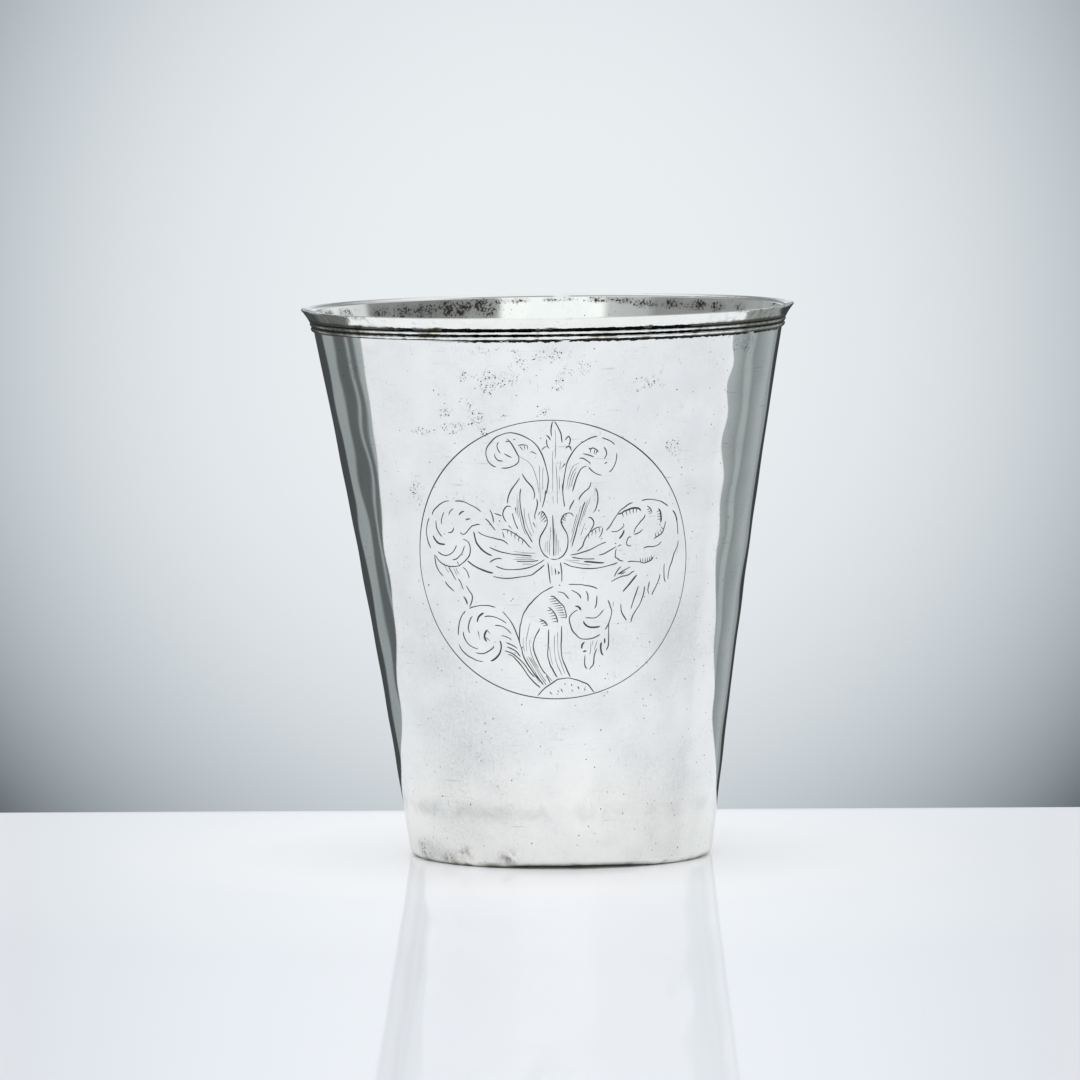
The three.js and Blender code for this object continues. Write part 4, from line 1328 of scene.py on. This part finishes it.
def lipMoulding():
    def seat(z):
        return wallRadius(z) + film

    t = np.linspace(0, 1, lip["flareRows"])
    flareR = (seat(lipBottom) + lip["foot"]) * (1 - t) + lipTip * t - 4 * lip["hollow"] * t * (1 - t)
    flareZ = lipBottom * (1 - t) + (height - lip["land"]) * t
    innerTop = bevelHeight(seat(height))
    nearTip = lipTip - lip["tipStep"]
    topEdge = [(lipTip, height), (nearTip, bevelHeight(nearTip)), (seat(innerTop), innerTop)]
    corners = [(seat(lipBottom), lipBottom), *zip(flareR, flareZ), *topEdge]
    rounding = np.full((len(corners), 1), lip["rounding"])
    rounding[-1] = lip["seamRounding"]
    section = roundCorners(corners, rounding)
    points = turned(section[:, :1], angles[None], section[:, 1:]).reshape(-1, 3)
    mesh, used = makeMesh("lip_wire", points, ringQuads(len(section), True))
    low, high = lip["crevice"]
    crevice = 1 - ease(lipBottom + low, lipBottom + high, section[:, 1])
    paint(mesh, "crevice", crevice.repeat(columns)[used])
    return mesh


# The reeds: two half-round wires under the lip
reeds = {"height": 0.9, "proud": 0.42, "unevenness": 0.1, "dentSize": 9.0, "rows": 17}


def reedWire(name, place, seed, grime):
    # a half circle carried round the wall, pressed a little flatter here and there
    top = lipBottom - place * reeds["height"] - film
    half = (reeds["height"] - film) / 2
    a = np.linspace(-math.pi / 2, math.pi / 2, reeds["rows"])
    z = top - half + half * np.sin(a)
    dents = np.tanh(hammerWaves(angles, 0 * angles, seed, reeds["dentSize"], 1.0))
    flatter = 1 - reeds["unevenness"] * (0.5 + 0.5 * dents)
    r = wallRadius(z)[:, None] + film + reeds["proud"] * np.cos(a)[:, None] * flatter[None]
    points = turned(r, angles[None], z[:, None]).reshape(-1, 3)
    mesh, used = makeMesh(name, points, ringQuads(len(a), True))
    paint(mesh, "crevice", (np.abs(np.sin(a)) + grime).repeat(columns)[used])
    return mesh


# The base: a flat disc let in on the turned-in seat, with the compass prick of its circle
base = {
    "thickness": 0.8,
    "prickDepth": 0.14,
    "prickRadius": 0.9,
    "unevenness": 0.05,
    "level": 4,  # width of the rim that stays level
    "underRows": 12,
    "overRows": 16,
    "middleRows": [2.2, 1.6, 1.1, 0.7, 0.3],  # radii of the close steps round the prick
    "middle": 3.0,
}
baseBottom = cup["sheet"] + film
baseTop = baseBottom + base["thickness"]


def basePlate():
    # rings from the middle of the underside out to the edge and back over the top
    edgeLow = float(insideRadius(baseBottom)) - film
    edgeHigh = float(insideRadius(baseTop)) - film
    under = np.linspace(base["middleRows"][-1], edgeLow, base["underRows"])
    over = np.concatenate([np.linspace(edgeHigh, base["middle"], base["overRows"]), base["middleRows"]])
    r = np.concatenate([under, over])
    low = np.concatenate([np.full(len(under), baseBottom), np.full(len(over), baseTop)])
    isTop = (np.arange(len(r)) >= len(under))[:, None]
    x, y = r[:, None] * np.sin(angles), r[:, None] * np.cos(angles)
    # two crossing waves about 11 mm long leave shallow dents
    dent = 0.5 + 0.25 * (np.cos(0.5 * x + 0.3 * y) + np.cos(0.42 * y - 0.28 * x + 1))
    fade = ease(edgeHigh, edgeHigh - base["level"], r)[:, None]
    prick = base["prickDepth"] * np.exp(-(r / base["prickRadius"]) ** 2)[:, None]
    z = low[:, None] - isTop * (base["unevenness"] * dent * fade + prick)
    rings = turned(r[:, None], angles[None], z).reshape(-1, 3)
    poles = turned(np.zeros(2), np.zeros(2), np.array([baseBottom, baseTop - base["prickDepth"] - 0.02]))
    points = np.vstack([rings, poles])
    ring = np.arange(columns)
    onward = (ring + 1) % columns
    last = (len(r) - 1) * columns
    fanUnder = np.stack([np.full(columns, len(rings)), onward, ring], 1)
    fanTop = np.stack([np.full(columns, len(rings) + 1), last + ring, last + onward], 1)
    return makeMesh("base_disc", points, ringQuads(len(r), False), np.vstack([fanUnder, fanTop]))[0]


# The solder fillet: a hollow-faced ring in the corner between base and wall
fillet = {"leg": 1.2, "unevenness": 0.12, "rows": 9}


def solderFillet():
    # a quarter of an ellipse from the wall down to the base, a little wavy at its toe
    def face(z):
        return insideRadius(z) - film

    bottom = baseTop + film
    top = bottom + fillet["leg"]
    a = np.linspace(0, math.pi / 2, fillet["rows"])
    wavy = 1 + np.sin(5 * angles) * np.cos(8 * angles + 1)
    toe = face(bottom) - fillet["leg"] + fillet["unevenness"] * wavy
    share = np.cos(a)[:, None]
    r = toe[None] * (1 - share) + face(top) * share
    z = np.repeat((top - fillet["leg"] * np.sin(a))[:, None], columns, 1)
    r = np.vstack([np.full((1, columns), face(bottom)), r])
    z = np.vstack([np.full((1, columns), bottom), z])
    points = turned(r, angles[None], z).reshape(-1, 3)
    return makeMesh("base_solder_ring", points, ringQuads(len(r), True))[0]


addPiece(bodyWall(), sheetSilver(), "body_wall")
lipFinish = wireSilver("drawn_lip_wire_silver", wireLook, blackFrom=0.76)
addPiece(lipMoulding(), lipFinish, "lip_moulding")
reedFinish = wireSilver("half_round_reed_silver", wireLook, blackFrom=0.84)
upperWire = reedWire("upper_reed_wire", place=0, seed=5, grime=0.1)
addPiece(upperWire, reedFinish, "upper_reed")
lowerWire = reedWire("lower_reed_wire", place=1, seed=8, grime=0.0)
addPiece(lowerWire, reedFinish, "lower_reed")
addPiece(basePlate(), baseSilver(), "base_plate")
addPiece(solderFillet(), dullSolder(), "base_solder_fillet")
print("pieces made")


# The table: a glossy white slab with a rounded back edge, in metres
table = {
    "halfWidth": 0.75,
    "front": -0.95,
    "back": 0.0855,
    "edgeRadius": 0.012,
    "edgeRows": 9,
    "edgeStep": 0.004,  # a step in from the rounded edge, from which the top is flat
    "drop": 0.3,
    "clear": 0.00004,  # the cup's seat stands this far above it
    # painted pool of light: the board is whitest round the beaker, lifting the cup's shadow on the table
    "paintedPoolWhites": [(0.06, "ffffff"), (0.085, "f7f9fb"), (0.16, "f0f2f5")],  # by distance from the middle
    "mirror": (0.02, 0.2),  # share of the mirror, seen steeply and along the table
    "roughness": 0.05,
}


def tableSlab():
    # a section in depth and height carried straight across
    radius, back, front = table["edgeRadius"], table["back"], table["front"]
    a = np.linspace(0, math.pi / 2, table["edgeRows"])
    flat = back - radius - table["edgeStep"]
    y = np.concatenate([[back], back - radius + radius * np.cos(a), [flat, front, front]])
    z = np.concatenate([[-table["drop"]], -radius + radius * np.sin(a), [0, 0, -table["drop"]]])
    z = z - table["clear"]
    x = np.array([-table["halfWidth"], table["halfWidth"]])
    points = np.stack(np.broadcast_arrays(x[:, None], y[None], z[None]), -1).reshape(-1, 3)
    first = np.arange(len(y) - 1)
    quads = np.stack([first, first + 1, first + 1 + len(y), first + len(y)], 1)
    return makeMesh("table_slab", points, quads)[0]


def glossyWhite():
    # white lacquered board with a painted pool of light, whitest round the beaker, and a mirror that is
    # faint from above
    material, add, place = startMaterial("white_lacquered_board")
    away = add("VectorMath", {0: place}, "Value", operation="LENGTH")
    # painted pool of light: the board's white grows brighter towards the beaker
    white = add("ValToRGB", {"Fac": away})
    rings = white.node.color_ramp.elements
    rings.new(0.5)
    for ring, (distance, colour) in zip(rings, table["paintedPoolWhites"]):
        ring.position = distance
        ring.color = linear(colour)
    board = add("BsdfDiffuse", {"Color": white})
    lacquer = add("BsdfGlossy", {"Color": (1, 1, 1, 1), "Roughness": table["roughness"]})
    slant = add("LayerWeight", {"Blend": 0.5}, "Facing")
    steep, along = table["mirror"]
    mirror = {"Value": slant, "From Min": 0.6, "From Max": 0.88, "To Min": steep, "To Max": along}
    share = add("MapRange", mirror)
    add("OutputMaterial", {"Surface": add("MixShader", {0: share, 1: board, 2: lacquer})})
    return material


slabMesh = tableSlab()
slabMesh.materials.append(glossyWhite())
slab = bpy.data.objects.new("table_slab", slabMesh)
scene.collection.objects.link(slab)

# The room as the silver and the camera see it: a glow behind the table, and bands of grey all round.
# Turns are degrees from the front, positive to the right, and levels are linear. A height is the upward part
# of the line of sight.
room = {
    "glow": 0.858,
    "glowSize": 16.26,  # halves of the picture to each unit of slope
    "glowLow": 0.874,  # the glow's middle lies this many halves below the horizon
    "glowAcross": 0.435,  # how fast the glow fades to the sides, above its middle and below it
    "glowAbove": 0.30,
    "glowBelow": 0.477,
    "glowFall": 1.53,  # power of the fading
    "glowTint": (0.957, 1.0, 1.028, 1.0),
    "dimTint": (0.877, 1.0, 1.08, 1.0),
    "pool": 0.9,  # light on the backdrop above the glow, which the table mirrors
    "poolFall": 0.7,  # how fast the pool fades to the sides
    "aloft": (0.03, 0.1),  # heights between which low bands turn to high ones
    "overhead": (0.32, 0.5),  # and high bands to the ceiling
    "below": (-0.36, -0.3),  # and what is under the table to low bands
    "under": [  # below the table as the silver sees it
        (-180, 0.74), (-169, 0.7), (-160, 0.15), (-130, 0.15), (-118, 0.45), (-90, 0.6), (90, 0.6),
        (118, 0.46), (130, 0.3), (160, 0.3), (169, 0.7), (180, 0.74),
    ],
    "underTint": (0.95, 1.0, 0.99),
    "strip": "b9bfc0",  # a pale strip of floor straight behind, too low for the photo's camera
    "stripSide": (0.1, 0.06),
    "stripTop": (-0.14, -0.2),
    "underSeen": "c6ced2",
    "ceiling": "eef2f4",
    "low": [
        (-180, 0.07), (-161, 0.065), (-152, 0.07), (-150, 0.33), (-137, 0.33), (-134, 0.12), (-124, 0.12),
        (-122.5, 0.33), (-121, 0.33), (-119.5, 0.14), (-116, 0.14), (-114.5, 0.38), (-90, 0.55),
        (-40, 0.75), (0, 0.8), (40, 0.75), (90, 0.55), (112, 0.4), (120, 0.29), (122, 0.41), (127, 0.41),
        (129, 0.27), (138, 0.34), (146, 0.42), (151, 0.42), (153, 0.33), (158, 0.33), (160.5, 0.05),
        (180, 0.05),
    ],
    "lowTint": (0.89, 1.0, 1.03),
    "high": [
        (-180, 0.25), (-160, 0.3), (-150, 0.5), (-112, 0.31), (-80, 0.28), (-58, 0.29), (-52, 0.48),
        (-32, 0.55), (-28, 1.03), (23, 1.03), (26, 0.42), (34, 0.38), (44, 0.31), (58, 0.25), (102, 0.25),
        (106, 0.71), (150, 0.86), (160, 0.34), (180, 0.27),
    ],
    "highTint": (0.95, 1.0, 1.0),
    "fillColour": "f4f6f9",
    "fill": 1.0,  # even light from all round
}


def bandRamp(add, turn, levels, tint):
    # grey levels round the room, from -180 to 180 degrees
    bands = add("ValToRGB", {"Fac": turn})
    stops = bands.node.color_ramp.elements
    places = [(degrees + 180) / 360 for degrees, level in levels]
    for inner in places[1:-1]:
        stops.new(inner)
    for stop, middle, (degrees, level) in zip(stops, places, levels):
        stop.position = middle
        stop.color = tuple(level * share for share in tint) + (1,)
    return bands


def glowBehind(add, right, up, back, aloft, behind):
    # place on a plane behind, in halves of the picture from the glow's middle
    leastBack = 0.02  # nothing is divided by zero at the sides
    backward = add("Math", {0: back, 1: leastBack}, operation="MAXIMUM")
    across = add("Math", {0: right, 1: backward}, operation="DIVIDE")
    across = add("Math", {0: across, 1: room["glowSize"]}, operation="MULTIPLY")
    down = add("Math", {0: up, 1: backward}, operation="DIVIDE")
    down = add("Math", {0: down, 1: -room["glowSize"], 2: -room["glowLow"]}, operation="MULTIPLY_ADD")
    wide = add("Math", {0: across, 1: across}, operation="MULTIPLY")
    tall = add("Math", {0: down, 1: down}, operation="MULTIPLY")
    isBelow = add("Math", {0: down, 1: 0.0}, operation="GREATER_THAN")
    tallness = add("MapRange", {"Value": isBelow, "To Min": room["glowAbove"], "To Max": room["glowBelow"]})
    spread = add("Math", {0: tall, 1: tallness}, operation="MULTIPLY")
    spread = add("Math", {0: wide, 1: room["glowAcross"], 2: spread}, operation="MULTIPLY_ADD")
    spread = add("Math", {0: spread, 1: room["glowFall"]}, operation="POWER")
    glow = add("Math", {0: room["glow"], 1: spread}, operation="SUBTRACT")
    # the pool of light above the glow, which fades to both sides
    pool = add("Math", {0: wide, 1: -room["poolFall"], 2: room["pool"]}, operation="MULTIPLY_ADD")
    pool = add("Math", {0: pool, 1: aloft}, operation="MULTIPLY")
    for other in (pool, 0.0):
        glow = add("Math", {0: glow, 1: other}, operation="MAXIMUM")
    glow = add("Math", {0: glow, 1: behind}, operation="MULTIPLY")
    bright = add("MapRange", {"Value": glow, "From Min": 0.25, "From Max": 0.86})
    tint = add("Mix", {0: bright, 6: room["dimTint"], 7: room["glowTint"]}, 2, data_type="RGBA")
    return add("VectorMath", {0: tint, "Scale": glow}, operation="SCALE")


def greyBands(add, right, up, back, aloft, behind, cameraRay):
    # bands round the room: under the table, low and high, with a pale ceiling
    forward = add("Math", {0: back, 1: -1.0}, operation="MULTIPLY")
    turn = add("Math", {0: right, 1: forward}, operation="ARCTAN2")
    turn = add("Math", {0: turn, 1: 0.5 / math.pi, 2: 0.5}, operation="MULTIPLY_ADD")
    low, high, under = (bandRamp(add, turn, room[k], room[k + "Tint"]) for k in ("low", "high", "under"))
    aside = add("Math", {0: right}, operation="ABSOLUTE")
    heights = [("stripSide", aside), ("stripTop", up), ("overhead", up), ("below", up)]
    ranges = [{"Value": value, "From Min": room[k][0], "From Max": room[k][1]} for k, value in heights]
    strip, sunk, overhead, aboveEdge = (add("MapRange", settings) for settings in ranges)
    for share in (sunk, behind):
        strip = add("Math", {0: strip, 1: share}, operation="MULTIPLY")
    # under the table it is dark at both sides of the back, and plain where the camera sees it
    under = add("Mix", {0: cameraRay, 6: under, 7: linear(room["underSeen"])}, 2, data_type="RGBA")
    low = add("Mix", {0: strip, 6: low, 7: linear(room["strip"])}, 2, data_type="RGBA")
    bands = add("Mix", {0: aloft, 6: low, 7: high}, 2, data_type="RGBA")
    bands = add("Mix", {0: overhead, 6: bands, 7: linear(room["ceiling"])}, 2, data_type="RGBA")
    return add("Mix", {0: aboveEdge, 6: under, 7: bands}, 2, data_type="RGBA")


def studioWorld():
    world = bpy.data.worlds.new("studio_room")
    scene.world = world
    world.use_nodes = True
    world.node_tree.nodes.clear()
    add = partial(addNode, world.node_tree)
    way = add("TexCoord", out="Generated")
    right, back, up = (add("SeparateXYZ", {"Vector": way}, axis) for axis in "XYZ")
    start, full = room["aloft"]
    aloft = add("MapRange", {"Value": up, "From Min": start, "From Max": full})
    behind = add("MapRange", {"Value": back, "From Min": 0.3, "From Max": 0.6})
    rays = ("Is Camera Ray", "Is Glossy Ray", "Is Transmission Ray")
    cameraRay, glossyRay, glassRay = (add("LightPath", out=kind) for kind in rays)
    glow = glowBehind(add, right, up, back, aloft, behind)
    bands = greyBands(add, right, up, back, aloft, behind, cameraRay)
    picture = add("VectorMath", {0: bands, 1: glow}, operation="MAXIMUM")
    # camera, mirrors and glass see the picture; matt surfaces get an even light
    seen = add("Math", {0: cameraRay, 1: glossyRay}, operation="ADD")
    seen = add("Math", {0: seen, 1: glassRay}, operation="ADD")
    direct = add("Math", {0: add("LightPath", out="Diffuse Depth"), 1: 0.5}, operation="LESS_THAN")
    seen = add("Math", {0: seen, 1: direct}, operation="MULTIPLY")
    shown = add("Background", {"Color": picture, "Strength": 1.0})
    light = add("Background", {"Color": linear(room["fillColour"]), "Strength": room["fill"]})
    add("OutputWorld", {"Surface": add("MixShader", {0: seen, 1: light, 2: shown})})


studioWorld()

# The lamp: a square soft box overhead, aimed at the foot; it lights the table and isn't mirrored itself
softBox = {"place": Vector((-0.25, -0.1, 1.6)), "size": 1.5, "watts": 3.0}
lamp = bpy.data.lights.new("overhead_soft_lamp", "AREA")
lamp.shape = "SQUARE"
lamp.size = softBox["size"]
lamp.energy = softBox["watts"]
lampHolder = bpy.data.objects.new("overhead_soft_lamp", lamp)
scene.collection.objects.link(lampHolder)
aimed = softBox["place"].to_track_quat("Z", "Y").to_matrix().to_4x4()
lampHolder.matrix_world = Matrix.Translation(softBox["place"]) @ aimed
lampHolder.visible_glossy = False
print("stage made")

# The camera, fitted to the photographed rim and foot: metres, radians and a lens in mm
view = {"place": (-0.00156, -1.6004, 0.1791), "dip": 0.076, "roll": math.radians(-0.3), "lens": 293.9}
cameraData = bpy.data.cameras.new("photo_camera")
cameraData.lens = view["lens"]
cameraData.sensor_width = 36.0
cameraData.clip_end = 50.0
camera = bpy.data.objects.new("photo_camera", cameraData)
scene.collection.objects.link(camera)
tip = Matrix.Rotation(math.pi / 2 - view["dip"], 4, "X") @ Matrix.Rotation(view["roll"], 4, "Z")
camera.matrix_world = Matrix.Translation(view["place"]) @ tip
scene.camera = camera
print("camera set")
